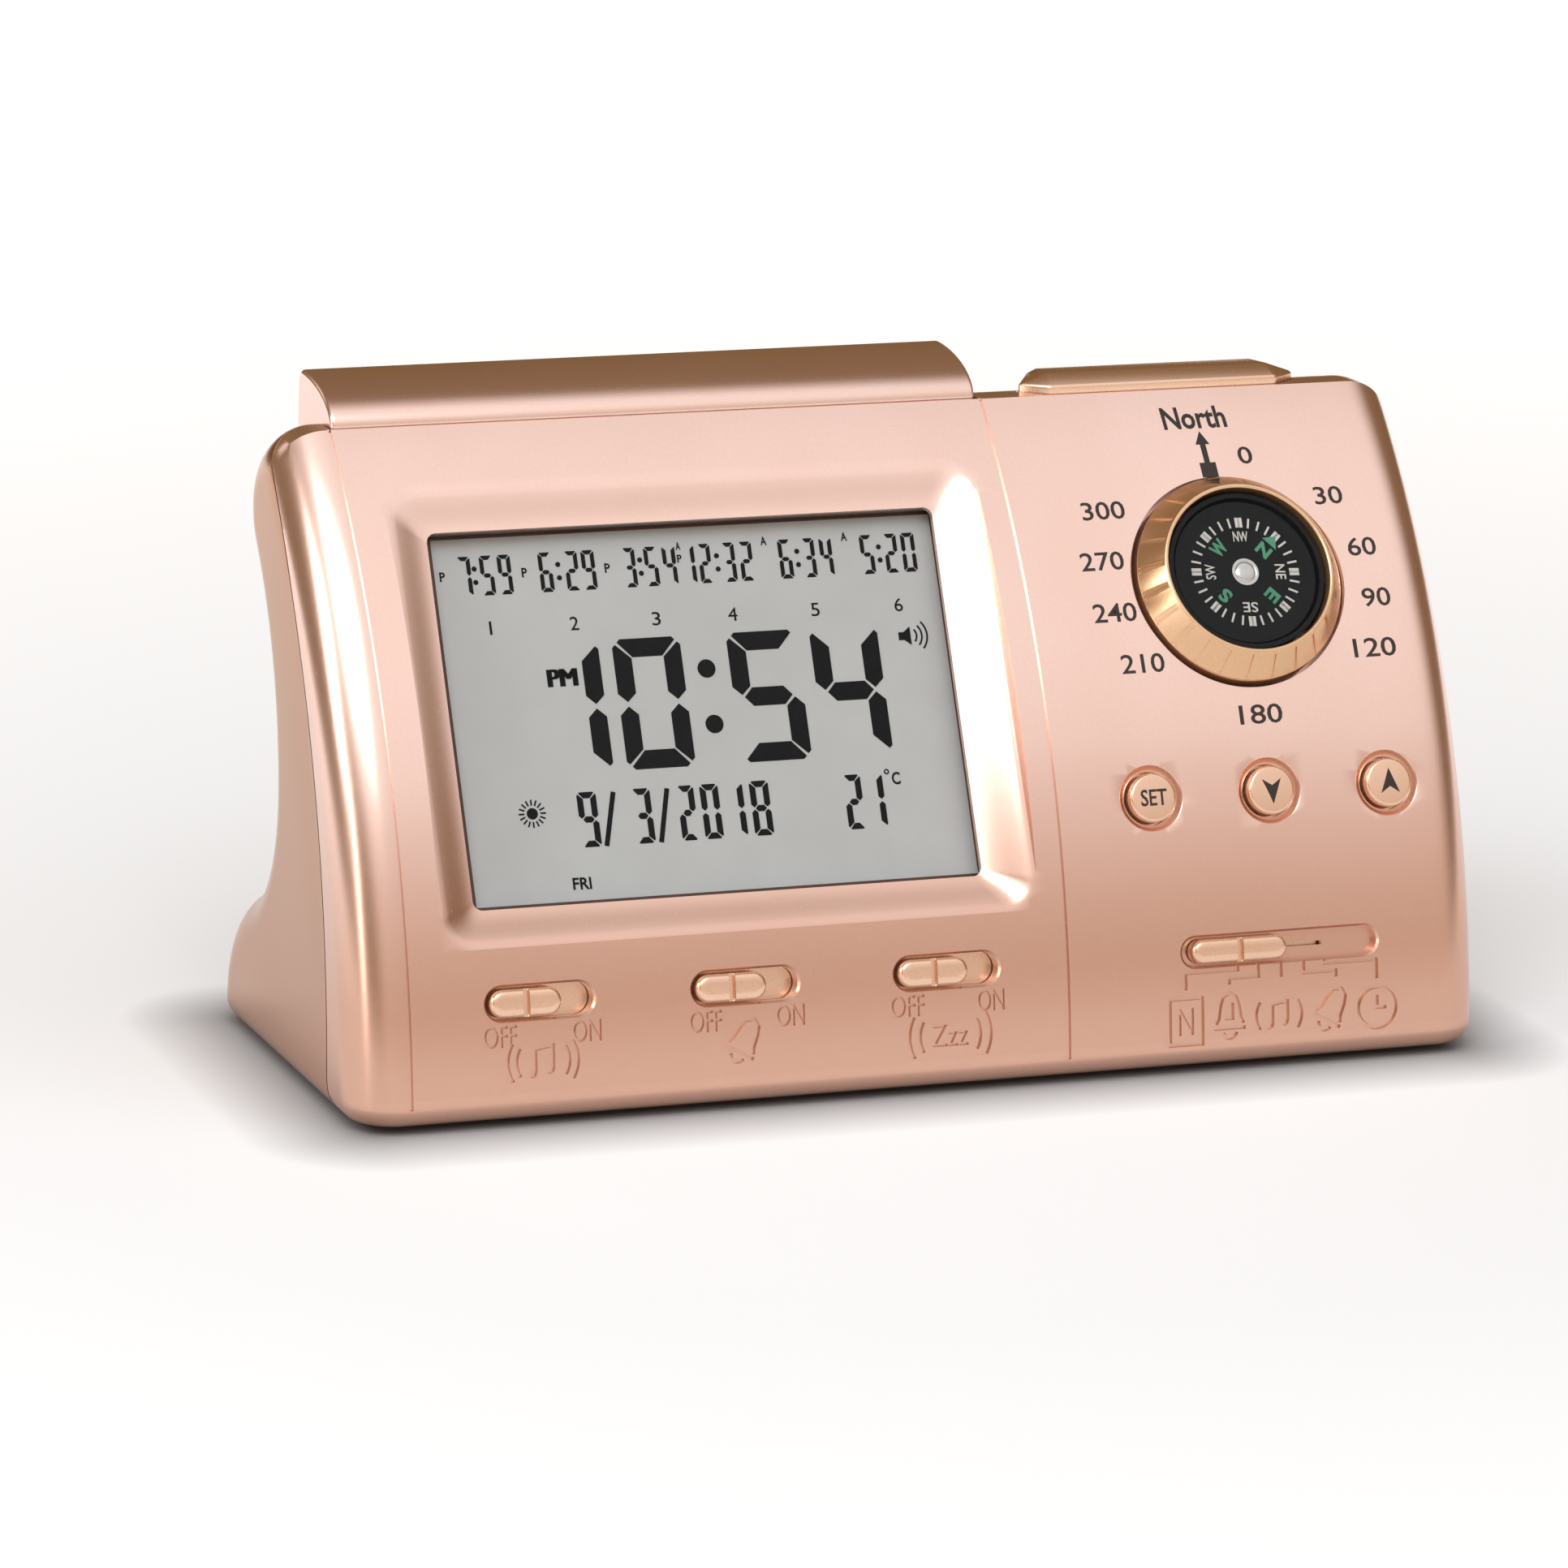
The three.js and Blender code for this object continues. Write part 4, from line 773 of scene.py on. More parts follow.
def grilleCuts():
    cuts = []
    for i in range(grille["slots"]):
        rise = (i - (grille["slots"] - 1) / 2) * grille["pitch"]
        half = math.sqrt(grille["reach"] ** 2 - rise ** 2)
        slot = pill("grilleSlot", 2 * half + grille["slot"], grille["slot"], -case["reach"], 40)
        cuts.append(placed(slot, Matrix.Translation((
            grille["x"], waistY, grille["z"] + rise)) @ Matrix.Rotation(-math.pi / 2, 4, "X")))
    return cuts


def caseCuts():
    past, width = case["past"], case["lineWidth"]
    cuts = [recessForm("recess", 0, 0, window["lip"] + 2),
            frameBlock("frameRoom", gap, window["frameFront"]), wellCut()]
    cuts += [boreCut(x) for x in buttonXs] + slideCuts()
    floor = caseForm("floor", snoozeBar["rebate"], 6)
    cuts.append(combine(barRebate("barRebate", 0), [copyOf(floor, "floorA")]))
    cuts.append(combine(keyRebate("keyRebate", 0), [floor]))
    cuts += [postY("screwRoom", screws["head"] + gap, x, jointY(z) + screws["seat"],
                   case["depth"], z) for x in (-screws["x"], screws["x"]) for z in screws["zs"]]
    cuts.append(block("bay", door["bayLeft"], door["bayRight"], door["bayFront"],
                      door["bayBack"], -past, door["bayTop"]))
    cuts.append(doorZone("doorRoom", gap))
    cuts += grilleCuts()
    # the two thin lines down the front, beside the bar's ends
    skin = caseForm("skin", case["lineDepth"], 8)
    for x in (snoozeBar["left"] - width, snoozeBar["right"] + width):
        line = block("line", x - width / 2, x + width / 2, -halfDepth - past, barFront - gap,
                     case["lift"] + case["bottomRound"], case["top"] + past)
        cuts.append(combine(line, [copyOf(skin, "skinA")]))
    bpy.data.objects.remove(skin)
    return cuts


def doorZone(name, grow):
    x0, x1 = door["left"] - grow, door["right"] + grow
    low, back = -case["past"], case["depth"]
    plate = block(name, x0, x1, door["front"] - grow, back, low, door["plate"] + grow)
    upstand = block(
        "upstand", x0, x1, door["upstandY"] - grow, back, low, door["upstand"] + grow)
    return combine(plate, [upstand], "UNION")


def hollowForm():
    # the space inside the walls, less the zones that stay standing
    wall, past = snoozeBar["wall"], case["past"]
    hollow = caseForm("hollow", case["wall"], 8)
    radius, deep, bay = compass["wellRadius"], compass["wellZone"], door["bayWall"]
    well = turned("wellZone", [(0, -deep), (radius, -deep), (radius, past), (0, past)])
    rebate = caseForm("rebateFloor", snoozeBar["rebate"] + wall, 6)
    zones = [
        recessForm("recessWall", window["wall"], -window["lip"], 0), placed(well, compassFrame),
        combine(barRebate("barZone", wall), [copyOf(rebate, "rebateA")]),
        combine(keyRebate("keyZone", wall), [rebate]),
        block("bayZone", door["bayLeft"] - bay, door["bayRight"] + bay, door["bayFront"] - bay,
              door["bayBack"] + bay, 0, door["bayTop"] + bay)]
    zones += [postY("column", screws["column"], x, -halfDepth, halfDepth, z)
              for x in (-screws["x"], screws["x"]) for z in screws["zs"]]
    return combine(hollow, zones)


# cut into the paint: slot words, signs and bracket lines, by their place on the panel
engraving = {
    "depth": 0.42, "line": 0.46, "above": 0.6,
    "words": [
        (-58.5, -54.3, 18.9, 21.6, "OFF"), (-47.1, -43.5, 18.9, 21.6, "ON"),
        (-32.0, -27.9, 18.9, 21.6, "OFF"), (-20.7, -17.1, 18.9, 21.6, "ON"),
        (-5.7, -1.3, 18.9, 21.6, "OFF"), (5.8, 9.3, 18.9, 21.6, "ON"),
        (-0.4, 4.4, 14.9, 17.6, "Zzz"), (32.7, 34.7, 13.9, 17.3, "N"),
        (38.9, 40.2, 15.4, 17.6, "1")],
    "noteAt": (-51.1, 16.9), "noteSize": 1.9, "noteWaves": (3.4, 4.5), "noteSpread": 0.55,
    "bellAt": (-25.1, 17.5), "bellSize": 3.0, "bellTurn": -0.5,
    "sleepAt": (2.0, 16.2), "sleepWaves": (4.0, 5.4), "sleepSpread": 0.5,
    "box": [(31.5, 12.7), (35.9, 12.7), (35.9, 18.5), (31.5, 18.5)],
    "alarmAt": (39.6, 15.9), "musicAt": (46.3, 15.6), "musicSize": 1.7, "musicWaves": (3.1,),
    "musicSpread": 0.6, "secondBellAt": (53.5, 15.8), "clockAt": (59.8, 15.6),
    "clockRadius": 2.6,
    "brackets": [
        [(33.7, 19.6), (33.7, 21.7), (40.8, 21.7), (40.8, 22.3)],
        [(39.6, 19.9), (39.6, 20.7), (43.6, 20.7), (43.6, 22.3)],
        [(46.7, 20.4), (46.7, 22.3)],
        [(54.2, 19.9), (54.2, 20.7), (49.8, 20.7), (49.8, 22.3)],
        [(59.8, 19.3), (59.8, 21.7), (52.6, 21.7), (52.6, 22.3)]],
}


# what is cut into the paint: slot words, signs and bracket lines


def bellShape(centre, size, angle):
    # an outlined bell with its rim and clapper
    body = [(-0.62, -0.32), (-0.5, -0.1), (-0.42, 0.45), (-0.3, 0.8), (0, 0.98), (0.3, 0.8),
            (0.42, 0.45), (0.5, -0.1), (0.62, -0.32)]
    line = engraving["line"] / size
    parts = [ribbon(body, line), ribbon([(-0.72, -0.5), (0.72, -0.5)], line),
             ringShape((0, -0.62), 0.3, line, math.pi * 1.06, math.pi * 1.94, 10)]
    return [turnedShape(part, centre, angle, size) for part in parts]


def waveShape(centre, radii, spread):
    return [ringShape(centre, radius, engraving["line"], middle - spread, middle + spread, 12)
            for radius in radii for middle in (0, math.pi)]


def clockShape(centre, radius):
    x, y = centre
    return [ringShape(centre, radius, engraving["line"]),
            ribbon([(x, y + radius * 0.62), (x, y), (x + radius * 0.5, y)], engraving["line"])]


def noteShape(centre, size):
    x, y = centre
    return [ribbon([(x - size * 0.5, y - size * 0.7), (x - size * 0.5, y + size * 0.8),
                    (x + size * 0.7, y + size), (x + size * 0.7, y - size * 0.5)],
                   engraving["line"]),
            disc((x - size * 0.72, y - size * 0.75), size * 0.3, 14),
            disc((x + size * 0.48, y - size * 0.55), size * 0.3, 14)]


def engravedShapes():
    e, size, turn = engraving, engraving["bellSize"], engraving["bellTurn"]
    shapes = [wordShape(words, *box) for *box, words in e["words"]]
    shapes += noteShape(e["noteAt"], e["noteSize"])
    shapes += waveShape(e["noteAt"], e["noteWaves"], e["noteSpread"])
    shapes += bellShape(e["bellAt"], size, turn)
    shapes += waveShape(e["sleepAt"], e["sleepWaves"], e["sleepSpread"])
    shapes.append(ribbon(e["box"], e["line"], True))
    shapes += bellShape(e["alarmAt"], size, 0)
    shapes += noteShape(e["musicAt"], e["musicSize"])
    shapes += waveShape(e["musicAt"], e["musicWaves"], e["musicSpread"])
    shapes += bellShape(e["secondBellAt"], size, turn)
    shapes += clockShape(e["clockAt"], e["clockRadius"])
    shapes += [ribbon(path, e["line"]) for path in e["brackets"]]
    return shapes


def engravers():
    return [raised("engraver", shape, onPanel, -engraving["depth"], engraving["above"])
            for shape in engravedShapes()]


# printed on the panel in black
printing = {
    "north": (41.6, 50.3, 92.6, 95.9), "northBold": 0.022,
    "arrowAt": (46.2, 89.9), "arrow": (1.9, 4.6), "head": 0.42, "stem": 0.2,
    "block": [(45.1, 85.5), (47.3, 85.5), (47.3, 87.6), (45.1, 87.6)],
    "digit": 1.95, "half": 1.25, "bold": 0.008, "low": 0.004, "high": 0.03,
    # each number: the end nearest the ring, its direction from there, its middle height
    "numbers": [
        (33.4, -1, 81.6, "300"), (31.8, -1, 74.7, "270"), (32.2, -1, 67.8, "240"),
        (34.8, -1, 61.0, "210"), (59.6, 1, 82.1, "30"), (62.6, 1, 74.8, "60"),
        (63.2, 1, 67.9, "90"), (60.8, 1, 61.3, "120"), (43.9, 1, 53.6, "180"),
        (50.6, 1, 88.4, "0")],
}


def arrowShape(centre, width, height):
    x, y = centre
    head, stem = height * printing["head"], width * printing["stem"]
    return shapeOf([[(x, y + height / 2), (x - width / 2, y + height / 2 - head),
                     (x + width / 2, y + height / 2 - head)],
                    [(x - stem, y + height / 2 - head), (x - stem, y - height / 2),
                     (x + stem, y - height / 2), (x + stem, y + height / 2 - head)]])


def printedShapes():
    shapes = [wordShape("North", *printing["north"], printing["northBold"]),
              arrowShape(printing["arrowAt"], *printing["arrow"]), shapeOf([printing["block"]])]
    half = printing["half"]
    for x, side, along, words in printing["numbers"]:
        width = printing["digit"] * len(words) * side
        shapes.append(wordShape(words, min(x, x + width), max(x, x + width), along - half,
                                along + half, printing["bold"]))
    return shapes


# the joint, the bores, the recess and the lines are cut first, and then the halves part
caseOuter = caseForm("caseOuter", 0, 14)
print("case outline ready:", len(caseOuter.data.polygons), "faces")
combine(caseOuter, caseCuts())
combine(caseOuter, engravers())
combine(caseOuter, [hollowForm()])
rearShell = combine(copyOf(caseOuter, "rearShell"), [jointZone("jointRear", -gap / 2)])
frontShell = combine(caseOuter, [jointZone("jointFront", gap / 2)], "INTERSECT")
finishPiece(
    frontShell, "front_shell", looks["casePaint"], "case", ["front_housing"])
# the rear shell takes the deeper copy of the paint, painted shade
finishPiece(rearShell, "rear_shell", looks["shadedCoverPaint"], "case", ["rear_cover"])
panelPrint = joinedMesh("panelPrint", [
    raised("mark", shape, onPanel, printing["low"], printing["high"])
    for shape in printedShapes()])
finishPiece(panelPrint, "panel_print", looks["printBlack"], "case", angle=40)
print("shells ready:", len(frontShell.data.polygons), len(rearShell.data.polygons), "faces")


# the snooze bar and the small key
def barSection(inset, low, steps=36):
    crest, sweep, rise = barFront + snoozeBar["sweep"], snoozeBar["sweep"], snoozeBar["rise"]
    crown, drop = snoozeBar["crown"], snoozeBar["drop"]
    curve = [(crest - (sweep - inset) * math.cos(i * math.pi / (2 * steps)),
              case["top"] + (rise - inset) * math.sin(i * math.pi / (2 * steps)))
             for i in range(steps + 1)]
    back = [(crest + (crown - inset) * math.sin(i * math.pi / 20),
             case["top"] + rise - inset - drop * (1 - math.cos(i * math.pi / 20)))
            for i in range(1, 11)] if inset < crown else []
    return [(barFront + inset, low), *curve, *back, (barFront + sweep + crown - inset, low)]


def barForm():
    # a hollow bar with its ends rounded over, two legs and their barbs
    low, turn, wall = case["top"] - snoozeBar["skirt"], snoozeBar["endRound"], snoozeBar["wall"]
    rings = []
    for i in range(7):
        angle = i * math.pi / 12
        inset = turn * (1 - math.sin(angle))
        x = snoozeBar["left"] + turn * (1 - math.cos(angle))
        rings.append([(x, y, z) for y, z in barSection(inset, low)])
    middle = snoozeBar["left"] + snoozeBar["right"]
    rings += [[(middle - x, y, z) for x, y, z in ring] for ring in reversed(rings)]
    outer = loft("bar", rings)
    inner = alongX("barInner", barSection(wall, low - case["past"]), snoozeBar["left"] + wall,
                   snoozeBar["right"] - wall)
    seat = caseForm("barSeat", snoozeBar["rebate"] - snoozeBar["travel"] - gap, 8)
    bar = combine(outer, [inner, seat])
    legY, ceiling = barFront + snoozeBar["legBack"], case["top"] + snoozeBar["rise"] - wall
    wide, thick = snoozeBar["legHalf"], snoozeBar["legThick"]
    under = case["topRearRadius"] - snoozeBar["rebate"] - wall
    barb = topRearZ - gap + math.sqrt(under ** 2 - (legY - thick - topRearY) ** 2)
    tools = []
    for x in (snoozeBar["left"] + snoozeBar["legIn"], snoozeBar["right"] - snoozeBar["legIn"]):
        tools.append(block(
            "leg", x - wide, x + wide, legY - thick, legY + thick, barb - 1, ceiling))
        tools.append(block(
            "barb", x - wide, x + wide, legY - snoozeBar["barb"], legY, barb - 1, barb))
    return combine(bar, tools, "UNION")

def keyForm():
    # an upright band with pointed ends, and a faceted crown with a long ridge
    band = keyOutline(0)
    ridgeY, rearY = barFront + topKey["ridgeBack"], barFront + topKey["depth"] - topKey["rearIn"]
    x0, x1 = topKey["left"] + topKey["ridgeIn"], topKey["right"] - topKey["ridgeIn"]
    top = case["top"] + topKey["rise"]
    low, high = case["top"] - topKey["skirt"], case["top"] + topKey["band"]
    points = [(x, y, low) for x, y in band] + [(x, y, high) for x, y in band]
    points += [(x0, ridgeY, top), (x1, ridgeY, top), (x1, rearY, top - topKey["rearDrop"]),
               (x0, rearY, top - topKey["rearDrop"])]
    faces = [tuple(range(6))] + [(i, (i + 1) % 6, 6 + (i + 1) % 6, 6 + i) for i in range(6)]
    faces += [(7, 8, 13, 12), (6, 7, 12), (8, 9, 13), (9, 10, 14, 13), (10, 11, 15, 14),
              (11, 6, 12, 15), (12, 13, 14, 15)]
    key = solid("key", points, faces)
    soft = key.modifiers.new("edge", "BEVEL")
    soft.width, soft.segments, soft.limit_method = topKey["soft"], 3, "ANGLE"
    soft.angle_limit = math.radians(12)
    applied(key)
    return combine(key, [caseForm("keySeat", snoozeBar["rebate"] - topKey["travel"], 8)])


finishPiece(barForm(), "bar_shell", looks["casePaint"], "snooze_bar_body", ["snooze_bar"])
finishPiece(keyForm(), "key_cap", looks["keyPaint"], "top_key_body", ["top_key"], 50)


# springs under the bar, wound by one tree
def coilTree(name, material):
    tree = bpy.data.node_groups.new(name, "GeometryNodeTree")
    for socket, kind in (("Turns", "NodeSocketFloat"), ("Low Radius", "NodeSocketFloat"),
                         ("High Radius", "NodeSocketFloat"), ("Height", "NodeSocketFloat"),
                         ("Wire", "NodeSocketFloat")):
        tree.interface.new_socket(socket, in_out="INPUT", socket_type=kind)
    tree.interface.new_socket("Geometry", in_out="OUTPUT", socket_type="NodeSocketGeometry")
    nodes, links = tree.nodes, tree.links
    start = nodes.new("NodeGroupInput")
    spiral = nodes.new("GeometryNodeCurveSpiral")
    spiral.inputs["Resolution"].default_value = 14
    for source, target in (("Turns", "Rotations"), ("Low Radius", "Start Radius"),
                           ("High Radius", "End Radius"), ("Height", "Height")):
        links.new(start.outputs[source], spiral.inputs[target])
    circle = nodes.new("GeometryNodeCurvePrimitiveCircle")
    circle.inputs["Resolution"].default_value = 8
    links.new(start.outputs["Wire"], circle.inputs["Radius"])
    sweep = nodes.new("GeometryNodeCurveToMesh")
    sweep.inputs["Fill Caps"].default_value = True
    links.new(spiral.outputs["Curve"], sweep.inputs["Curve"])
    links.new(circle.outputs["Curve"], sweep.inputs["Profile Curve"])
    real = nodes.new("GeometryNodeRealizeInstances")
    links.new(sweep.outputs["Mesh"], real.inputs[0])
    paint = nodes.new("GeometryNodeSetMaterial")
    paint.inputs["Material"].default_value = material
    links.new(real.outputs[0], paint.inputs["Geometry"])
    end = nodes.new("NodeGroupOutput")
    links.new(paint.outputs["Geometry"], end.inputs["Geometry"])
    return tree


def fromTree(name, tree, values):
    holder = solid(name, [(0, 0, 0), (1, 0, 0), (0, 1, 0), (0, 0, 1)],
                   [(0, 1, 2), (0, 1, 3), (1, 2, 3), (0, 2, 3)])
    step = holder.modifiers.new("made", "NODES")
    step.node_group = tree
    for item in tree.interface.items_tree:
        if item.in_out == "INPUT" and item.name in values:
            step[item.identifier] = values[item.name]
    return applied(holder)


springs = {"radius": 1.55, "wire": 0.22, "turns": 4.0, "slack": 0.06}
coil = coilTree("woundSpring", looks["brightSteel"])
for side in ("left", "right"):
    low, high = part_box("bar_spring_" + side)
    place = (low + high) / 2 / mm
    length = (high.z - low.z) / mm
    wound = fromTree("coil", coil, {
        "Turns": springs["turns"], "Low Radius": springs["radius"],
        "High Radius": springs["radius"], "Height": length - 2 * springs["wire"],
        "Wire": springs["wire"]})
    placed(wound, Matrix.Translation((place.x, place.y, low.z / mm + springs["wire"])))
    finishPiece(wound, "bar_coil_" + side, looks["brightSteel"], "case",
                ["bar_spring_" + side], 60)
    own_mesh(wound)
print("bar and key ready")


# push buttons and slide knobs
def buttonForm(x):
    radius, rise, low = buttons["radius"], buttons["rise"], buttons["flangeLow"]
    flange, soft, swell = radius + buttons["flangeOut"], buttons["edge"], buttons["crown"]
    edge = [(radius - soft * (1 - math.cos(i * math.pi / 12)), rise - swell - soft * (
        1 - math.sin(i * math.pi / 12))) for i in range(7)]
    crown = [(radius - soft - (radius - soft) * i / 5, rise - swell + swell * math.sin(
        i * math.pi / 10)) for i in range(1, 5)]
    form = turned("button", [
        (0, low), (flange, low), (flange, buttons["flange"]), (radius, buttons["flange"]),
        *edge, *crown, (0, rise)], 72)
    return placed(form, panelFrame(x, buttons["z"]))


def chevron(direction):
    # an arrow head with a notched tail
    high, low, notch, wide = (size * direction for size in (1.75, -1.35, -0.55, 1.25))
    return shapeOf([[(0, high), (-abs(wide), low), (0, notch)],
                    [(0, high), (0, notch), (abs(wide), low)]])


signs = {"set": wordShape("SET", -1.75, 1.75, -1.05, 1.05, 0.012), "down": chevron(-1),
         "up": chevron(1)}
for name, x in zip(("set", "down", "up"), buttonXs):
    body, high = name + "_button_body", buttons["rise"]
    finishPiece(buttonForm(x), name + "_cap", looks["keyPaint"], body, [name + "_button"],
                40)
    into, proud = buttons["print"]
    sign = raised("sign", signs[name], onFrame(panelFrame(x, buttons["z"])), high - into,
                  high + proud)
    finishPiece(sign, name + "_sign", looks["printBlack"], body, angle=40)


def knobForm(length, height, low, plate):
    # a rounded pill, crowned across, with a notch in its middle
    rise, radius, edge = slides["rise"], height / 2, slides["edge"]
    curve = [(edge * (1 - math.cos(angle)), rise - edge * (1 - math.sin(angle)))
             for angle in (i * math.pi / 12 for i in range(1, 6))]
    rings = [[(x, y, z) for x, y in roundedOutline(
        length - 2 * cut, height - 2 * cut, radius - cut - 1e-3, 12)]
        for cut, z in [(0, low), (0, rise - edge), *curve, (slides["flat"], rise)]]
    knob = loft("knob", rings)
    width, depth = slides["notch"]
    half, soft = width / 2, 0.15
    notch = [(-half - 0.1, rise + 1), (-half, rise - depth + soft), (-half + soft, rise - depth),
             (half - soft, rise - depth), (half, rise - depth + soft), (half + 0.1, rise + 1)]
    groove = loft("notch", [[(x, y, z) for x, z in notch] for y in (-5, 5)])
    combine(knob, [groove])
    return combine(knob, [plate], "UNION")


# behind each slot rides a plate that keeps it closed
capHeight = slides["slot"][1] - 2 * gap
for name, x in slides["xs"].items():
    start = x + slides["start"]
    knob = knobForm(slides["knob"], capHeight, slides["low"], pill("shutter", *slides["shutter"]))
    placed(knob, panelFrame(start, slides["z"]))
    finishPiece(knob, name + "_slider", looks["keyPaint"], name + "_knob_body",
                [name + "_knob"], 34)
pin = combine(block("pin", *slides["modePin"]), [pill("shutter", *slides["modeShutter"])], "UNION")
modeKnob = knobForm(
    slides["modeKnob"], slides["modeSlot"][1] - 2 * gap, gap - slides["modeDepth"], pin)
placed(modeKnob, panelFrame(slides["modeKnobX"], slides["z"]))
finishPiece(modeKnob, "mode_slider", looks["keyPaint"], "mode_knob_body", ["mode_knob"],
            34)
print("buttons and knobs ready")


# the display: glass, segments, printed words, and the clear window
digitBars = {
    "0": "abcdef", "1": "bc", "2": "abged", "3": "abgcd", "4": "fgbc", "5": "afgcd",
    "6": "afgecd", "7": "abc", "8": "abcdefg", "9": "abcdfg",
}
display = {
    "inkLow": -2.598, "inkHigh": -2.55, "bigGap": 0.28, "smallGap": 0.1, "dateGap": 0.14,
    "big": [("1", -20.7, -12.1), ("0", -10.3, -1.4), ("5", 4.7, 13.9), ("4", 15.7, 24.7)],
    "bigY": (-6.9, 9.6), "bigLine": 2.35,
    "dots": [(1.63, 5.27, 1.17), (1.71, -1.79, 1.17)],
    "small": [("7", -28.9, -27.2), ("5", -26.0, -24.3), ("9", -23.7, -22.0), ("6", -18.4, -16.7),
              ("2", -15.0, -13.3), ("9", -12.8, -11.1), ("3", -7.4, -5.8), ("5", -4.6, -2.9),
              ("4", -2.2, -0.5), ("1", 0.5, 2.0), ("2", 2.5, 4.1), ("3", 5.7, 7.3),
              ("2", 7.9, 9.6), ("6", 13.1, 14.8), ("3", 16.3, 17.9), ("4", 18.6, 20.2),
              ("5", 24.0, 25.7), ("2", 27.2, 28.9), ("0", 29.5, 31.3)],
    "smallY": (16.1, 21.1), "smallLine": 0.52,
    "colons": [-26.75, -15.9, -5.2, 4.9, 15.55, 26.45], "colonYs": (19.5, 17.8),
    "colonDot": 0.33,
    "date": [("9", -17.4, -14.9), ("3", -10.3, -7.9), ("2", -4.4, -2.2), ("0", -1.4, 1.0),
             ("1", 1.6, 4.2), ("8", 5.1, 7.6), ("2", 17.5, 19.8), ("1", 20.1, 22.7)],
    "dateY": (-16.2, -9.3), "dateLine": 0.78,
    "slashes": [((-12.6, -9.5), (-14.3, -16.2)), ((-5.6, -9.5), (-7.2, -16.2))],
    "slashLine": 0.62,
    "words": [
        (-31.3, -30.6, 18.1, 19.3, "P", 0.02), (-20.7, -20.0, 18.1, 19.3, "P", 0.02),
        (-9.9, -9.2, 18.1, 19.3, "P", 0.02), (-0.3, 0.3, 20.5, 21.5, "A", 0.02),
        (-0.3, 0.3, 18.9, 19.9, "P", 0.02), (10.9, 11.7, 20.5, 21.6, "A", 0.02),
        (21.6, 22.4, 20.5, 21.6, "A", 0.02), (-19.2, -15.6, 4.1, 6.3, "PM", 0.0),
        (-19.0, -15.4, 4.1, 6.3, "PM", 0.0), (-18.8, -15.2, 4.1, 6.3, "PM", 0.0),
        (-19.3, -16.9, -21.4, -19.9, "FRI", 0.02), (24.0, 25.1, -10.9, -9.3, "C", 0.02),
        (-25.75, -25.45, 11.1, 12.8, "1", 0.0), (-15.3, -14.2, 11.1, 12.8, "2", 0.0),
        (-4.6, -3.5, 11.1, 12.8, "3", 0.0), (5.4, 6.6, 11.1, 12.8, "4", 0.0),
        (16.4, 17.5, 11.1, 12.8, "5", 0.0), (27.5, 28.6, 11.1, 12.8, "6", 0.0)],
    "degree": ((23.4, -9.2), 0.27, 0.16), "speakerAt": (28.6, 7.9), "waves": (1.1, 1.8, 2.5),
    "sunAt": (-23.33, -11.58), "sun": 0.72, "rayLift": -2.57,
    "rays": {"Rays": 16, "Distance": 1.4, "Length": 0.72, "Width": 0.2, "Thick": 0.04},
    "glass": (69.4, 50.3, 0.6), "glassEdge": ((0.25, -5.4), (0, -5.2), (0, -2.8), (0.2, -2.6)),
    "lensEdge": ((0.15, -2.3), (0, -2.15), (0, -1.25), (0.15, -1.1)), "lensCorner": 1.4,
    "rim": (0.95, 0.58, 0.7, 0.1), "rimLine": 0.42, "rimLow": -2.58, "rimHigh": -2.32,
}


def digitShape(sign, x0, x1, y0, y1, line, space):
    # bars that meet on slanting joints, with the digit's outer corners cut off
    mid, half, cut = (y0 + y1) / 2, line / 2, line * 0.34
    corner = cut / 2
    upper = [(x0, y1 - cut), (x0 + corner, y1 - corner), (x0 + line, y1 - line),
             (x0 + line, mid + half), (x0 + half, mid), (x0, mid + half)]
    topBar = [(x0 + corner, y1 - corner), (x0 + cut, y1), (x1 - cut, y1),
              (x1 - corner, y1 - corner), (x1 - line, y1 - line), (x0 + line, y1 - line)]
    middleBar = [(x0 + half, mid), (x0 + line, mid + half), (x1 - line, mid + half),
                 (x1 - half, mid), (x1 - line, mid - half), (x0 + line, mid - half)]
    across, down = x0 + x1, y0 + y1
    bars = {
        "f": upper, "a": topBar, "g": middleBar,
        "b": [(across - x, y) for x, y in upper], "e": [(x, down - y) for x, y in upper],
        "c": [(across - x, down - y) for x, y in upper],
        "d": [(x, down - y) for x, y in topBar]}
    shapes = []
    for key in digitBars[sign]:
        axis = 0 if key in "agd" else 1
        values = [point[axis] for point in bars[key]]
        low, high = min(values), max(values)
        share = 1 - 2 * space / (high - low)
        middle = (low + high) / 2
        shapes.append(shapeOf([[
            tuple(middle + (v - middle) * share if k == axis else v for k, v in enumerate(point))
            for point in bars[key]]]))
    return shapes


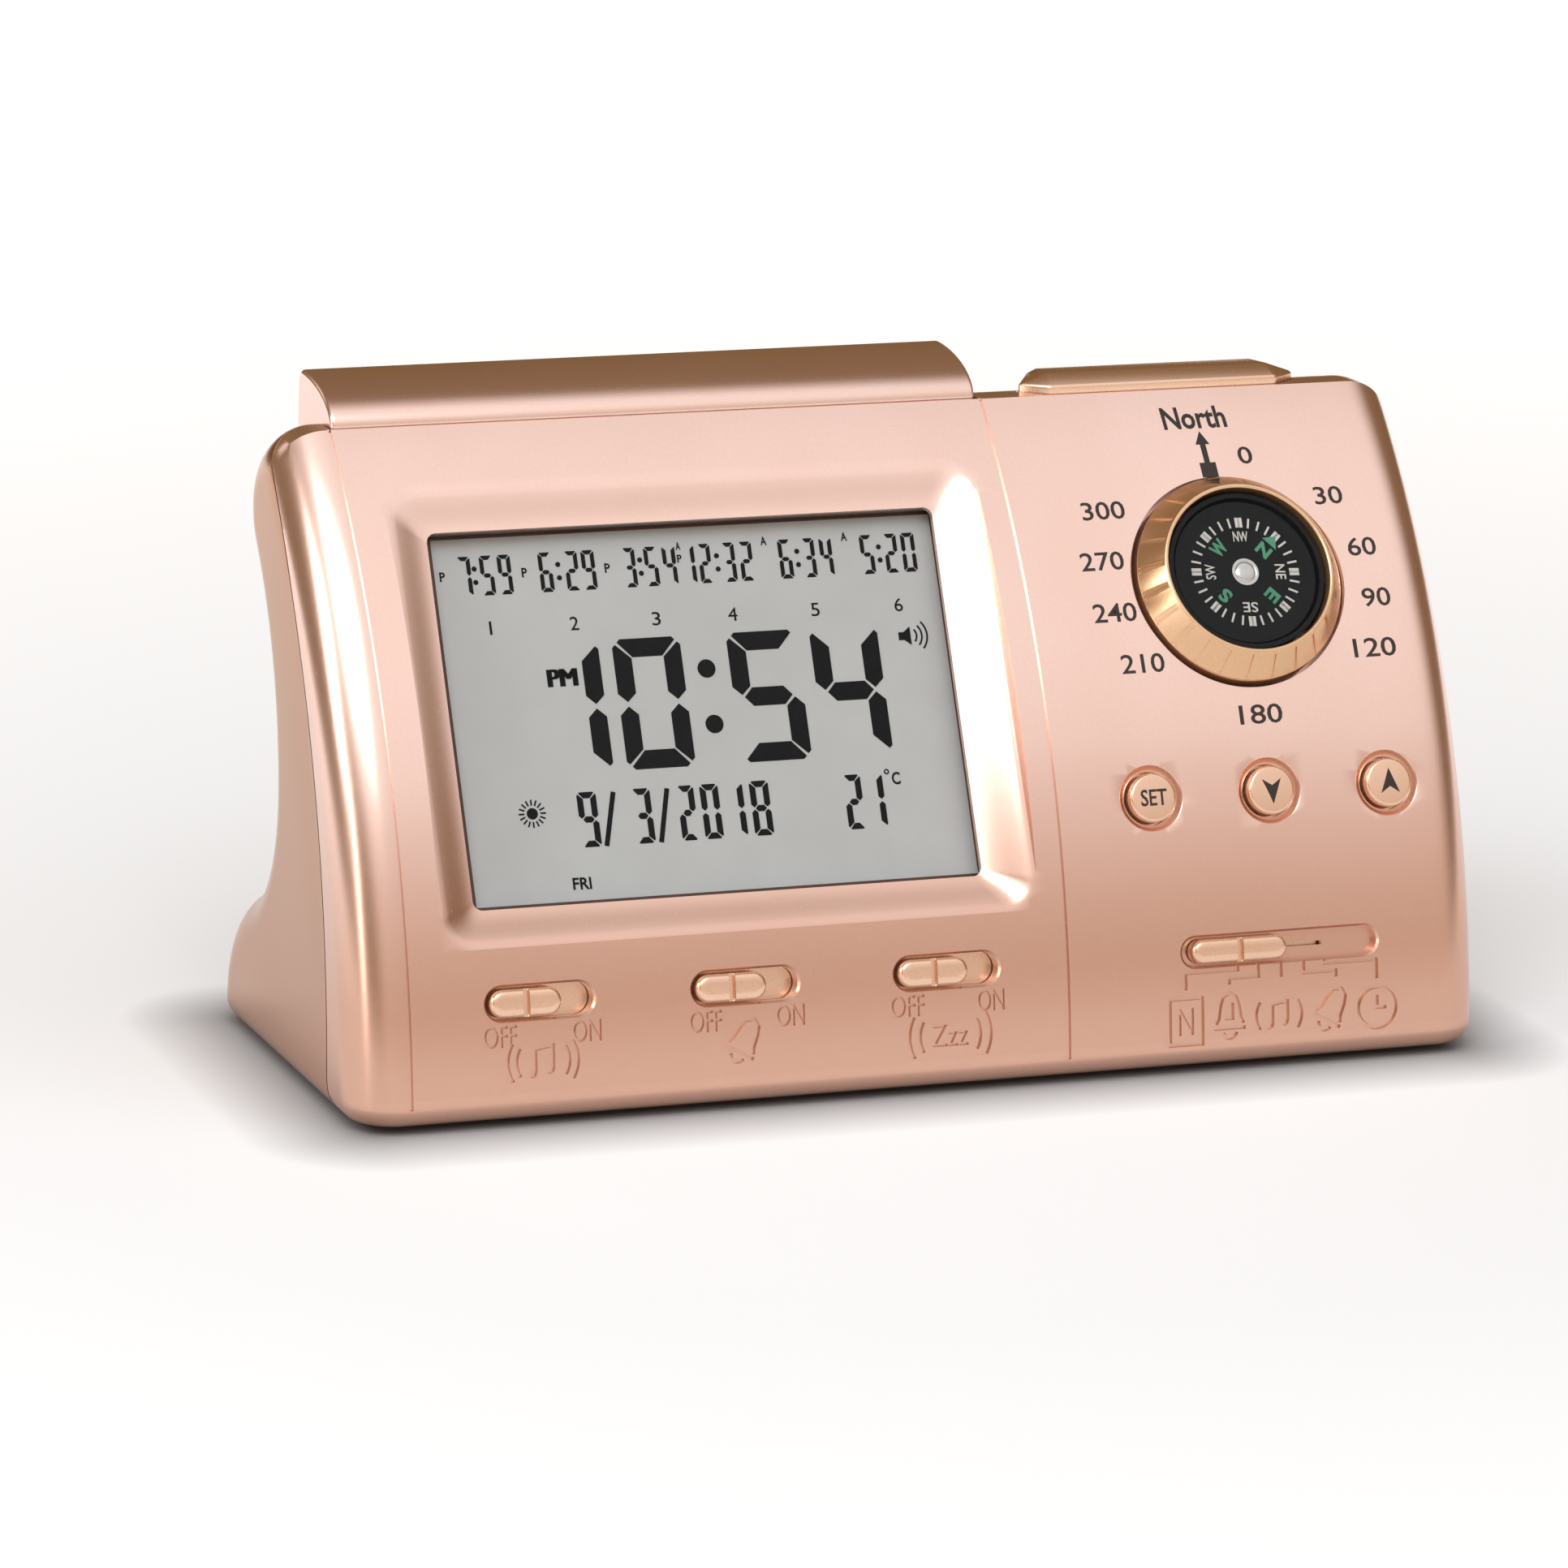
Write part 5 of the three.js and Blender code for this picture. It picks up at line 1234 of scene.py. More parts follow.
def displayShapes():
    shapes = []
    for row in ("big", "small", "date"):
        for sign, x0, x1 in display[row]:
            shapes += digitShape(sign, x0, x1, *display[row + "Y"], display[row + "Line"],
                                 display[row + "Gap"])
    shapes += [disc((x, y), radius) for x, y, radius in display["dots"]]
    shapes += [disc((x, y), display["colonDot"], 12) for x in display["colons"]
               for y in display["colonYs"]]
    shapes += [ribbon(list(path), display["slashLine"]) for path in display["slashes"]]
    shapes += [wordShape(words, *box, bold) for *box, words, bold in display["words"]]
    shapes.append(ringShape(*display["degree"], steps=12))
    # a loudspeaker with sound waves
    x, y = display["speakerAt"]
    shapes.append(shapeOf([
        [(x - 1.1, y - 0.5), (x - 0.4, y - 0.5), (x - 0.4, y + 0.5), (x - 1.1, y + 0.5)],
        [(x - 0.4, y - 0.5), (x + 0.5, y - 1.2), (x + 0.5, y + 1.2), (x - 0.4, y + 0.5)]]))
    shapes += [ringShape((x + 0.2, y), radius, 0.22, -0.75, 0.75, 10)
               for radius in display["waves"]]
    return shapes


def rayTree(name, material):
    # even bars set round a circle: rays, dial marks and cuts
    tree = bpy.data.node_groups.new(name, "GeometryNodeTree")
    for socket, kind in (("Rays", "NodeSocketInt"), ("Distance", "NodeSocketFloat"),
                         ("Length", "NodeSocketFloat"), ("Width", "NodeSocketFloat"),
                         ("Thick", "NodeSocketFloat"), ("Lean", "NodeSocketFloat")):
        tree.interface.new_socket(socket, in_out="INPUT", socket_type=kind)
    tree.interface.new_socket("Geometry", in_out="OUTPUT", socket_type="NodeSocketGeometry")
    nodes, links = tree.nodes, tree.links
    start = nodes.new("NodeGroupInput")
    circle = nodes.new("GeometryNodeMeshCircle")
    links.new(start.outputs["Rays"], circle.inputs["Vertices"])
    links.new(start.outputs["Distance"], circle.inputs["Radius"])
    size = nodes.new("ShaderNodeCombineXYZ")
    for source, target in (("Length", "X"), ("Width", "Y"), ("Thick", "Z")):
        links.new(start.outputs[source], size.inputs[target])
    bar = nodes.new("GeometryNodeMeshCube")
    links.new(size.outputs[0], bar.inputs["Size"])
    angles = nodes.new("ShaderNodeCombineXYZ")
    links.new(start.outputs["Lean"], angles.inputs["Y"])
    leaning = nodes.new("GeometryNodeTransform")
    links.new(bar.outputs["Mesh"], leaning.inputs["Geometry"])
    links.new(angles.outputs[0], leaning.inputs["Rotation"])
    place = nodes.new("GeometryNodeInputPosition")
    turn = nodes.new("FunctionNodeAlignRotationToVector")
    turn.axis = "X"
    links.new(place.outputs[0], turn.inputs["Vector"])
    spread = nodes.new("GeometryNodeInstanceOnPoints")
    links.new(circle.outputs["Mesh"], spread.inputs["Points"])
    links.new(leaning.outputs[0], spread.inputs["Instance"])
    links.new(turn.outputs[0], spread.inputs["Rotation"])
    real = nodes.new("GeometryNodeRealizeInstances")
    links.new(spread.outputs["Instances"], real.inputs[0])
    paint = nodes.new("GeometryNodeSetMaterial")
    paint.inputs["Material"].default_value = material
    links.new(real.outputs[0], paint.inputs["Geometry"])
    end = nodes.new("NodeGroupOutput")
    links.new(paint.outputs["Geometry"], end.inputs["Geometry"])
    return tree


def ringOfBars(name, material, values):
    return fromTree(name, rayTree(name + "Tree", material), values)


def addDisplay():
    place, low, high = onFrame(windowFrame), display["inkLow"], display["inkHigh"]
    width, height, corner = display["glass"]
    glass = placed(loft("glass", [
        [(x, y, z) for x, y in roundedOutline(width - 2 * cut, height - 2 * cut, corner - cut, 4)]
        for cut, z in display["glassEdge"]]), windowFrame)
    finishPiece(glass, "display_glass", looks["displayGray"], "case", ["lcd_glass"])
    w, h = window["width"] / 2 + window["lip"] - gap, window["height"] / 2 + window["lip"] - gap
    lens = placed(loft("lens", [
        [(x, y, z) for x, y in roundedOutline(
            2 * (w - cut), 2 * (h - cut), display["lensCorner"] - cut, 6)]
        for cut, z in display["lensEdge"]]), windowFrame)
    finishPiece(lens, "display_lens", looks["clearLens"], "case", ["screen_lens"])
    ink = [raised("ink", shape, place, low, high) for shape in displayShapes()]
    ink.append(raised("core", disc(display["sunAt"], display["sun"], 20), place, low, high))
    rays = ringOfBars("rays", looks["displayInk"], display["rays"])
    ink.append(placed(rays, windowFrame @ Matrix.Translation((
        *display["sunAt"], display["rayLift"]))))
    finishPiece(joinedMesh("segments", ink), "display_segments", looks["displayInk"], "case",
                angle=40)
    # the dark edge round the glass, as far out as it shows through the window
    left, below, past, above = display["rim"]
    right, top = window["width"] / 2, window["height"] / 2
    edge = raised("rim", ribbon([
        (left - right, below - top), (right + past, below - top), (right + past, top - above),
        (left - right, top - above)], display["rimLine"], True), place, display["rimLow"],
        display["rimHigh"])
    finishPiece(edge, "display_rim", looks["displayEdge"], "case", angle=40)


addDisplay()
print("display ready")


# the compass: ring, cup, card, pin and dome
def onCone(share):
    # a point's radius and height on the ring's sloping face
    outer, crown = compass["outer"], compass["crown"]
    return (outer + (crown - outer) * share,
            compass["shoulder"] + (compass["rise"] - compass["shoulder"]) * share)


def compassRingForm():
    outer, crown, inner = compass["outer"], compass["crown"], compass["inner"]
    low, high, edge = 0.3 - compass["wellDepth"], compass["rise"], 0.22
    side = outer - 0.2
    foot = arcOf((side - edge, compass["shoulder"] - edge), edge, 0, math.pi / 4, 4)
    top = arcOf((crown - edge, high - edge), edge, math.pi / 4, math.pi / 2, 4)
    lip = arcOf((inner + edge, high - edge), edge, math.pi / 2, math.pi, 4)
    return turned("ring", [(inner, low), (side, low), *foot, *top, *lip], 144)


def compassRing():
    # the cuts in the sloping face: one row all round, and a few marks that are doubled
    ring = compassRingForm()
    (r0, z0), (r1, z1) = onCone(0.06), onCone(0.9)
    values = {"Rays": compass["ticks"], "Distance": (r0 + r1) / 2,
              "Length": math.hypot(r1 - r0, z1 - z0), "Width": 0.24, "Thick": 0.6,
              "Lean": math.atan2(z1 - z0, r0 - r1)}
    middle = Matrix.Translation((0, 0, (z0 + z1) / 2))
    cuts, second = (placed(
        ringOfBars(name, looks["bezelGold"], values),
        middle @ Matrix.Rotation(math.radians(turn), 4, "Z"))
        for name, turn in (("cuts", 7), ("second", 9.4)))
    start, end = math.radians(160), math.radians(222)
    wedge = prism("wedge", [(0, 0)] + arcOf((0, 0), 20, start, end, 12), 0, 9)
    second = combine(second, [wedge], "INTERSECT")
    return placed(combine(ring, [cuts, second]), compassFrame)


def letterShape(words, angle, radius, height, width, bold):
    word = wordShape(words, -width / 2, width / 2, -height / 2, height / 2, bold)
    centre = (radius * math.cos(angle), radius * math.sin(angle))
    return turnedShape(word, centre, angle - math.pi / 2)


cardMarks = {
    "north": 42.0, "green": [("E", 270, 1.9, 1.5), ("S", 180, 1.9, 1.4), ("W", 90, 2.0, 2.1)],
    "white": [("NE", 315), ("SE", 225), ("SW", 135), ("NW", 45)], "letterAt": 4.5,
    "pairAt": 4.75, "marksAt": 6.62, "low": 2.602, "high": 2.66,
}


def addCompass():
    frameAt = compassFrame
    finishPiece(compassRing(), "bezel_ring", looks["bezelGold"], "compass_ring_body",
                ["compass_ring"], 30)
    r, z = onCone(0.5)
    lean = math.atan2(compass["rise"] - compass["shoulder"], compass["outer"] - compass["crown"])
    mark = raised("marker", shapeOf([[(-1.0, 0.62), (1.0, 0.62), (0, -1.0)]]), onFrame(
        frameAt @ Matrix.Rotation(math.radians(7), 4, "Z") @ Matrix.Translation((0, r, z))
        @ Matrix.Rotation(-lean, 4, "X")), 0.004, 0.03)
    finishPiece(mark, "bezel_marker", looks["printBlack"], "compass_ring_body", angle=40)
    cup = turned("cup", [
        (0, -5.9), (10.3, -5.9), (10.4, -5.8), (10.4, 3.1), (9.8, 3.1), (9.8, -4.9), (0, -4.9)], 96)
    finishPiece(placed(cup, frameAt), "compass_bowl", looks["dialBlack"], "case",
                ["compass_cup"])
    dome = [(9.8 * math.cos(a), 3.25 + 0.72 * math.sin(a)) for a in (
        i * math.pi / 40 for i in range(20))]
    cap = turned("dome", [(0, 3.2), (10.35, 3.2), (10.35, 3.3), (10.1, 3.42), *dome[3:],
                          (0, 3.97)], 96)
    finishPiece(placed(cap, frameAt), "compass_cap", looks["clearDome"], "case",
                ["compass_dome"])
    pin = turned("pin", [(0, -4.9), (1.6, -4.9), (1.6, -4.6), (0.6, -4.2), (0.6, 1.2),
                         (0.12, 2.05), (0, 2.1)], 40)
    finishPiece(placed(pin, frameAt), "compass_pivot", looks["turnedBrass"], "case",
                ["compass_pin"])
    addCard(frameAt)


def addCard(frameAt):
    body = "compass_card_body"
    low, high = cardMarks["low"], cardMarks["high"]
    disk = turned("card", [(0.75, 2.1), (9.3, 2.1), (9.5, 2.2), (9.5, 2.52), (9.42, 2.6),
                           (1.35, 2.6), (1.35, 2.4), (0.75, 2.4)], 96)
    finishPiece(placed(disk, frameAt), "card_disc", looks["dialBlack"], body,
                ["compass_card"])
    dome = [(1.3 * math.cos(a), 2.7 + 0.23 * math.sin(a)) for a in (
        i * math.pi / 16 for i in range(8))]
    hub = turned("hub", [(0, 2.3), (1.2, 2.3), (1.2, 2.602), (1.8, 2.602), (1.78, 2.67),
                         (1.42, 2.69), (1.36, 2.65), *dome, (0, 2.93)], 64)
    finishPiece(placed(hub, frameAt), "card_hub", looks["hubSteel"], body, angle=50)
    north = math.radians(cardMarks["north"])
    place = onFrame(frameAt)
    green = [letterShape(word, north + math.radians(turn), cardMarks["letterAt"], tall, wide, 0.04)
             for word, turn, tall, wide in cardMarks["green"]]
    green.append(letterShape("N", north, 4.1, 1.7, 1.9, 0.04))
    tip = Vector((math.cos(north), math.sin(north)))
    side = Vector((-tip.y, tip.x))
    green.append(shapeOf([[tuple(tip * 6.7), tuple(tip * 5.3 + side * 1.15),
                           tuple(tip * 5.3 - side * 1.15)]]))
    finishPiece(joinedMesh("green", [raised("word", s, place, low, high) for s in green]),
                "card_green", looks["dialGreen"], body, angle=40)
    white = [letterShape(word, north + math.radians(turn), cardMarks["pairAt"], 1.35, 2.0, 0.01)
             for word, turn in cardMarks["white"]]
    parts = [raised("word", s, place, low, high) for s in white]
    for count, length, width in ((8, 1.3, 0.95), (32, 1.3, 0.26)):
        bars = ringOfBars("dialBars", looks["dialWhite"], {
            "Rays": count, "Distance": cardMarks["marksAt"], "Length": length, "Width": width,
            "Thick": 0.05})
        parts.append(placed(bars, frameAt @ Matrix.Translation((0, 0, 2.63)) @ Matrix.Rotation(
            north, 4, "Z")))
    finishPiece(joinedMesh("white", parts), "card_white", looks["dialWhite"], body, angle=40)


addCompass()
print("compass ready")


# base, back and insides
def rowTree(name):
    # one item repeated along a straight line
    tree = bpy.data.node_groups.new(name, "GeometryNodeTree")
    for socket, kind in (("Item", "NodeSocketObject"), ("Count", "NodeSocketInt"),
                         ("Start", "NodeSocketVector"), ("Step", "NodeSocketVector"),
                         ("Finish", "NodeSocketMaterial")):
        tree.interface.new_socket(socket, in_out="INPUT", socket_type=kind)
    tree.interface.new_socket("Geometry", in_out="OUTPUT", socket_type="NodeSocketGeometry")
    nodes, links = tree.nodes, tree.links
    start = nodes.new("NodeGroupInput")
    line = nodes.new("GeometryNodeMeshLine")
    for source, target in (("Count", "Count"), ("Start", "Start Location"), ("Step", "Offset")):
        links.new(start.outputs[source], line.inputs[target])
    item = nodes.new("GeometryNodeObjectInfo")
    links.new(start.outputs["Item"], item.inputs["Object"])
    spread = nodes.new("GeometryNodeInstanceOnPoints")
    links.new(line.outputs["Mesh"], spread.inputs["Points"])
    links.new(item.outputs["Geometry"], spread.inputs["Instance"])
    real = nodes.new("GeometryNodeRealizeInstances")
    links.new(spread.outputs["Instances"], real.inputs[0])
    paint = nodes.new("GeometryNodeSetMaterial")
    links.new(real.outputs[0], paint.inputs["Geometry"])
    links.new(start.outputs["Finish"], paint.inputs["Material"])
    end = nodes.new("NodeGroupOutput")
    links.new(paint.outputs["Geometry"], end.inputs["Geometry"])
    return tree


rows = rowTree("evenRow")


def rowOf(name, item, look, count, start, step):
    return fromTree(name, rows, {
        "Item": item, "Count": count, "Start": start, "Step": step, "Finish": looks[look]})


def dropped(*pieces):
    for piece in pieces:
        bpy.data.objects.remove(piece)


def addScrews():
    head, thick, neck = screws["head"], screws["thick"], screws["neck"]
    dome = [(head * math.cos(a), 0.3 + (thick - 0.5) * (0.55 + 0.45 * math.sin(a))) for a in (
        i * math.pi / 20 for i in range(10))]
    low, high = (corner.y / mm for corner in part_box("case_screw_1"))
    shank = high - low - thick
    screw = turned("screw", [(0, -shank), (neck, 0.4 - shank), (neck, 0.3), (head, 0.3), *dome,
                             (0, thick)], 48)
    long, wide, low = screws["crossLong"], screws["crossWide"], thick - screws["crossDeep"]
    arms = [block("arm", -x, x, -y, y, low, thick + 1) for x, y in ((long, wide), (wide, long))]
    screw = combine(screw, [combine(arms[0], [arms[1]], "UNION")])
    placed(screw, Matrix.Rotation(-math.pi / 2, 4, "X"))
    parts = []
    for z in screws["zs"]:
        parts.append(rowOf("screwRow", screw, "brightSteel", 2, (
            -screws["x"], jointY(z) + screws["seat"], z), (2 * screws["x"], 0, 0)))
    dropped(screw)
    finishPiece(joinedMesh("screws", parts), "back_screws", looks["brightSteel"], "case",
                ["case_screw_%d" % i for i in (1, 2, 3, 4)], 40)


def addFeet():
    radius, height, soft = feet["radius"], feet["height"], feet["edge"]
    edge = arcOf((radius - soft, soft), soft, 0, -math.pi / 2, 6)
    foot = turned("foot", [(0, height), (radius, height), *edge, (radius - 1.4, 0),
                           (radius - 1.8, 0.25), (0, 0.25)], 56)
    parts = [rowOf("footRow", foot, "softRubber", 2, (-feet["x"], y, 0), (2 * feet["x"], 0, 0))
             for y in feet["ys"]]
    dropped(foot)
    finishPiece(joinedMesh("feet", parts), "base_feet", looks["softRubber"], "case",
                ["foot_%d" % i for i in (1, 2, 3, 4)], 40)


def addDoor():
    lid = combine(caseForm("lid", 0), [doorZone("lidZone", 0)], "INTERSECT")
    combine(lid, [caseForm("lidRoom", case["wall"], 8)])
    middle = (door["left"] + door["right"]) / 2
    groove = block("groove", *door["groove"])
    grip = rowOf("gripCuts", groove, "shadedCoverPaint", door["gripCuts"],
                 (middle, halfDepth + 0.6, door["gripLow"]), (0, 0, door["gripPitch"]))
    dropped(groove)
    arrow = raised("arrow", shapeOf([[(-3, 0), (0, 4), (3, 0)]]), lambda x, y, z: Vector(
        (middle + x, door["arrowY"] + y, case["lift"] + z)), -1, 0.35)
    combine(lid, [grip, arrow])
    finishPiece(lid, "battery_lid", looks["shadedCoverPaint"], "battery_door_body", ["battery_door"])


def alongAxis(piece, place, flip=False):
    turn = Matrix.Rotation(-math.pi / 2 if flip else math.pi / 2, 4, "Y")
    return placed(piece, Matrix.Translation(place) @ turn)


cells = {"tip": 1.0, "wire": 0.3, "turns": 3.6, "narrow": 0.5}


def addBatteries():
    for i, flip in ((1, False), (2, True)):
        low, high = (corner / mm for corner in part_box("battery_%d" % i))
        radius, tip = (high.z - low.z) / 2, cells["tip"]
        length = high.x - low.x - tip
        start = (high.x if flip else low.x, (low.y + high.y) / 2, (low.z + high.z) / 2)
        wrap = turned("wrap", [
            (radius - 0.9, 0.25), (radius - 0.5, 0.05), (radius - 0.12, 0.2), (radius, 0.6),
            (radius, length - 0.5), (radius - 0.15, length - 0.1), (radius - 0.9, length - 0.1),
            (radius - 0.9, length - 0.5)], 64)
        finishPiece(alongAxis(wrap, start, flip), "cell_wrap_%d" % i, looks["batteryWrap"],
                    "case", ["battery_%d" % i], 40)
        can = turned("can", [
            (0, 0.12), (2.6, 0.12), (2.9, 0), (3.4, 0), (radius - 1, 0.3),
            (radius - 1, length - 0.35), (2.3, length - 0.2), (1.9, length),
            (1.9, length + tip - 0.2), (1.7, length + tip), (0, length + tip)], 64)
        finishPiece(alongAxis(can, start, flip), "cell_can_%d" % i, looks["brightSteel"],
                    "case", angle=40)
        low, high = (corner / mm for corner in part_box("minus_spring_%d" % i))
        wire = cells["wire"]
        wide, length = (high.z - low.z) / 2 - wire, high.x - low.x
        spring = fromTree("endSpring", coil, {
            "Turns": cells["turns"], "Low Radius": wide, "High Radius": wide * cells["narrow"],
            "Height": length - 2 * wire, "Wire": wire})
        placed(spring, Matrix.Translation((0, 0, wire)))
        start = (high.x if flip else low.x, (low.y + high.y) / 2, (low.z + high.z) / 2)
        finishPiece(alongAxis(spring, start, flip), "cell_spring_%d" % i, looks["brightSteel"],
                    "case", ["minus_spring_%d" % i], 60)


def addSpeaker():
    low, high = (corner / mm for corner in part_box("speaker_cone"))
    radius, depth = (high.x - low.x) / 2, high.y - low.y
    middle = Vector(((low.x + high.x) / 2, high.y, (low.z + high.z) / 2))
    roll = arcOf((radius - 1.6, -0.85), 0.8, math.pi, 0, 10)
    cone = turned("cone", [
        (0, -depth + 1.5), (1.6, -depth + 1.35), (3.0, -depth + 0.8), (3.7, -depth + 0.35),
        *[(4.2 + (radius - 6.8) * i / 6, 0.35 - depth + (depth - 1.2) * (i / 6) ** 0.8)
          for i in range(1, 6)], (radius - 2.5, -0.85), *roll, (radius, -0.85), (radius, -1.3),
        (radius - 2.7, -1.4), (4.0, -depth), (0, -depth)], 96)
    placed(cone, Matrix.Translation(middle) @ Matrix.Rotation(-math.pi / 2, 4, "X"))
    finishPiece(cone, "driver_cone", looks["conePaper"], "case", ["speaker_cone"])


def boardFinish():
    board = Shader("circuitBoard")
    tracks = board.node("TexBrick", {"offset": 0.5}, {
        "Vector": board.place((1, 1, 1.0)), "Scale": 260.0, "Mortar Size": 0.09,
        "Color1": (0, 0, 0, 1), "Color2": (0, 0, 0, 1), "Mortar": (1, 1, 1, 1)})
    weave = board.noise(900, 2.0)
    mask = board.blend(weave, colour(26, 92, 52), colour(20, 76, 44))
    return board.finish(
        Base_Color=board.blend(tracks * 0.5, mask, colour(58, 132, 74)),
        Roughness=weave * 0.1 + 0.3, Normal=board.bump(tracks, 0.2, 0.00005))


def wrapFinish():
    wrap = Shader("batteryWrap")
    along = wrap.node("SeparateXYZ", None, [wrap.spot()])
    band = (along + 0.0345).math("ABSOLUTE").over(0.0125, 0.0127)
    grain = wrap.noise(700, 2.0)
    tone = wrap.blend(band, colour(176, 150, 84), colour(38, 52, 46))
    return wrap.finish(
        Base_Color=wrap.blend(grain * 0.2, tone, colour(20, 26, 24)),
        Roughness=grain * 0.1 + 0.24, Normal=wrap.bump(grain, 0.05, 0.00003))


looks["circuitBoard"] = boardFinish()
looks["batteryWrap"] = wrapFinish()
cadLooks = {
    "whitePlastic": ["lcd_backlight", "lcd_frame"],
    "softRubber": ["zebra_strip"],
    "tanPlastic": ["mode_switch"],
    "circuitBoard": ["main_board", "key_board", "slide_board", "top_board"],
    "blackPlastic": ["clock_chip", "set_switch", "down_switch", "up_switch", "bar_switch",
                     "top_key_switch"],
    "brightSteel": ["quartz_crystal", "chime_slide_switch", "alarm_slide_switch",
                    "snooze_slide_switch", "speaker_frame", "speaker_magnet",
                    "plus_contact_1", "plus_contact_2"],
}
for look, nodes in cadLooks.items():
    for node in nodes:
        for slot in bpy.data.objects[node].material_slots:
            slot.material = looks[look]
addScrews()
addFeet()
addDoor()
addBatteries()
addSpeaker()
print("base, back and insides ready")


# camera, floor and lights
shot = {
    "place": (-0.355797, -0.91695, 0.278637), "yaw": 0.360907, "pitch": 0.245315,
    "roll": 0.0260719, "lens": 184.6,
}


def addCamera():
    yaw, pitch, roll = shot["yaw"], shot["pitch"], shot["roll"]
    ahead = Vector((
        math.sin(yaw) * math.cos(pitch), math.cos(yaw) * math.cos(pitch), -math.sin(pitch)))
    right = Vector((math.cos(yaw), -math.sin(yaw), 0))
    up = right.cross(ahead)
    across = right * math.cos(roll) + up * math.sin(roll)
    upward = up * math.cos(roll) - right * math.sin(roll)
    turn = Matrix((across, upward, -ahead)).transposed().to_4x4()
    data = bpy.data.cameras.new("photoView")
    data.lens = shot["lens"]
    data.sensor_width = 36
    data.clip_start, data.clip_end = 0.05, 20
    made = bpy.data.objects.new("photoView", data)
    made.matrix_world = Matrix.Translation(shot["place"]) @ turn
    bpy.context.scene.collection.objects.link(made)
    bpy.context.scene.camera = made


def addLamp(name, place, aim, size, power, tint=(1, 1, 1)):
    data = bpy.data.lights.new(name, "AREA")
    data.shape = "RECTANGLE"
    data.size, data.size_y = size
    data.energy = power
    data.color = tint
    lamp = bpy.data.objects.new(name, data)
    lamp.location = place
    lamp.rotation_euler = (Vector(aim) - Vector(place)).to_track_quat("-Z", "Y").to_euler()
    bpy.context.scene.collection.objects.link(lamp)


air = {
    "tilt": 1.6, "behind": (0.17, 0.088, 0.018), "frontLow": (0.66, 0.55, 0.47),
    "frontHigh": (1.0, 0.98, 0.97), "strength": 1.0, "patchAt": (-0.84, -0.53, 0.06),
    "patch": (0.22, 0.13, 0.035), "floorSeen": (0.84, 0.86, 0.88),
    "floorBounce": (0.52, 0.39, 0.29), "floorLift": (0.19, 0.21, 0.23),
    # footprint, shadowWidth and shadow make the floor's painted contact shadow
    "farLift": (0.75, 0.75, 0.75), "footprint": (0.071, 0.026, 0), "shadowWidth": 0.017,
    "shadow": (0.26, 0.26, 0.27),
}


def seenBy(shader):
    # 1 for what the camera, a gloss or a clear piece looks at, and 0 for bounced light
    path = shader.node("LightPath")
    seen = path
    for ray in ("Is Glossy Ray", "Is Transmission Ray"):
        seen = seen.math("MAXIMUM", Link(shader, path.socket.node.outputs[ray]))
    return seen


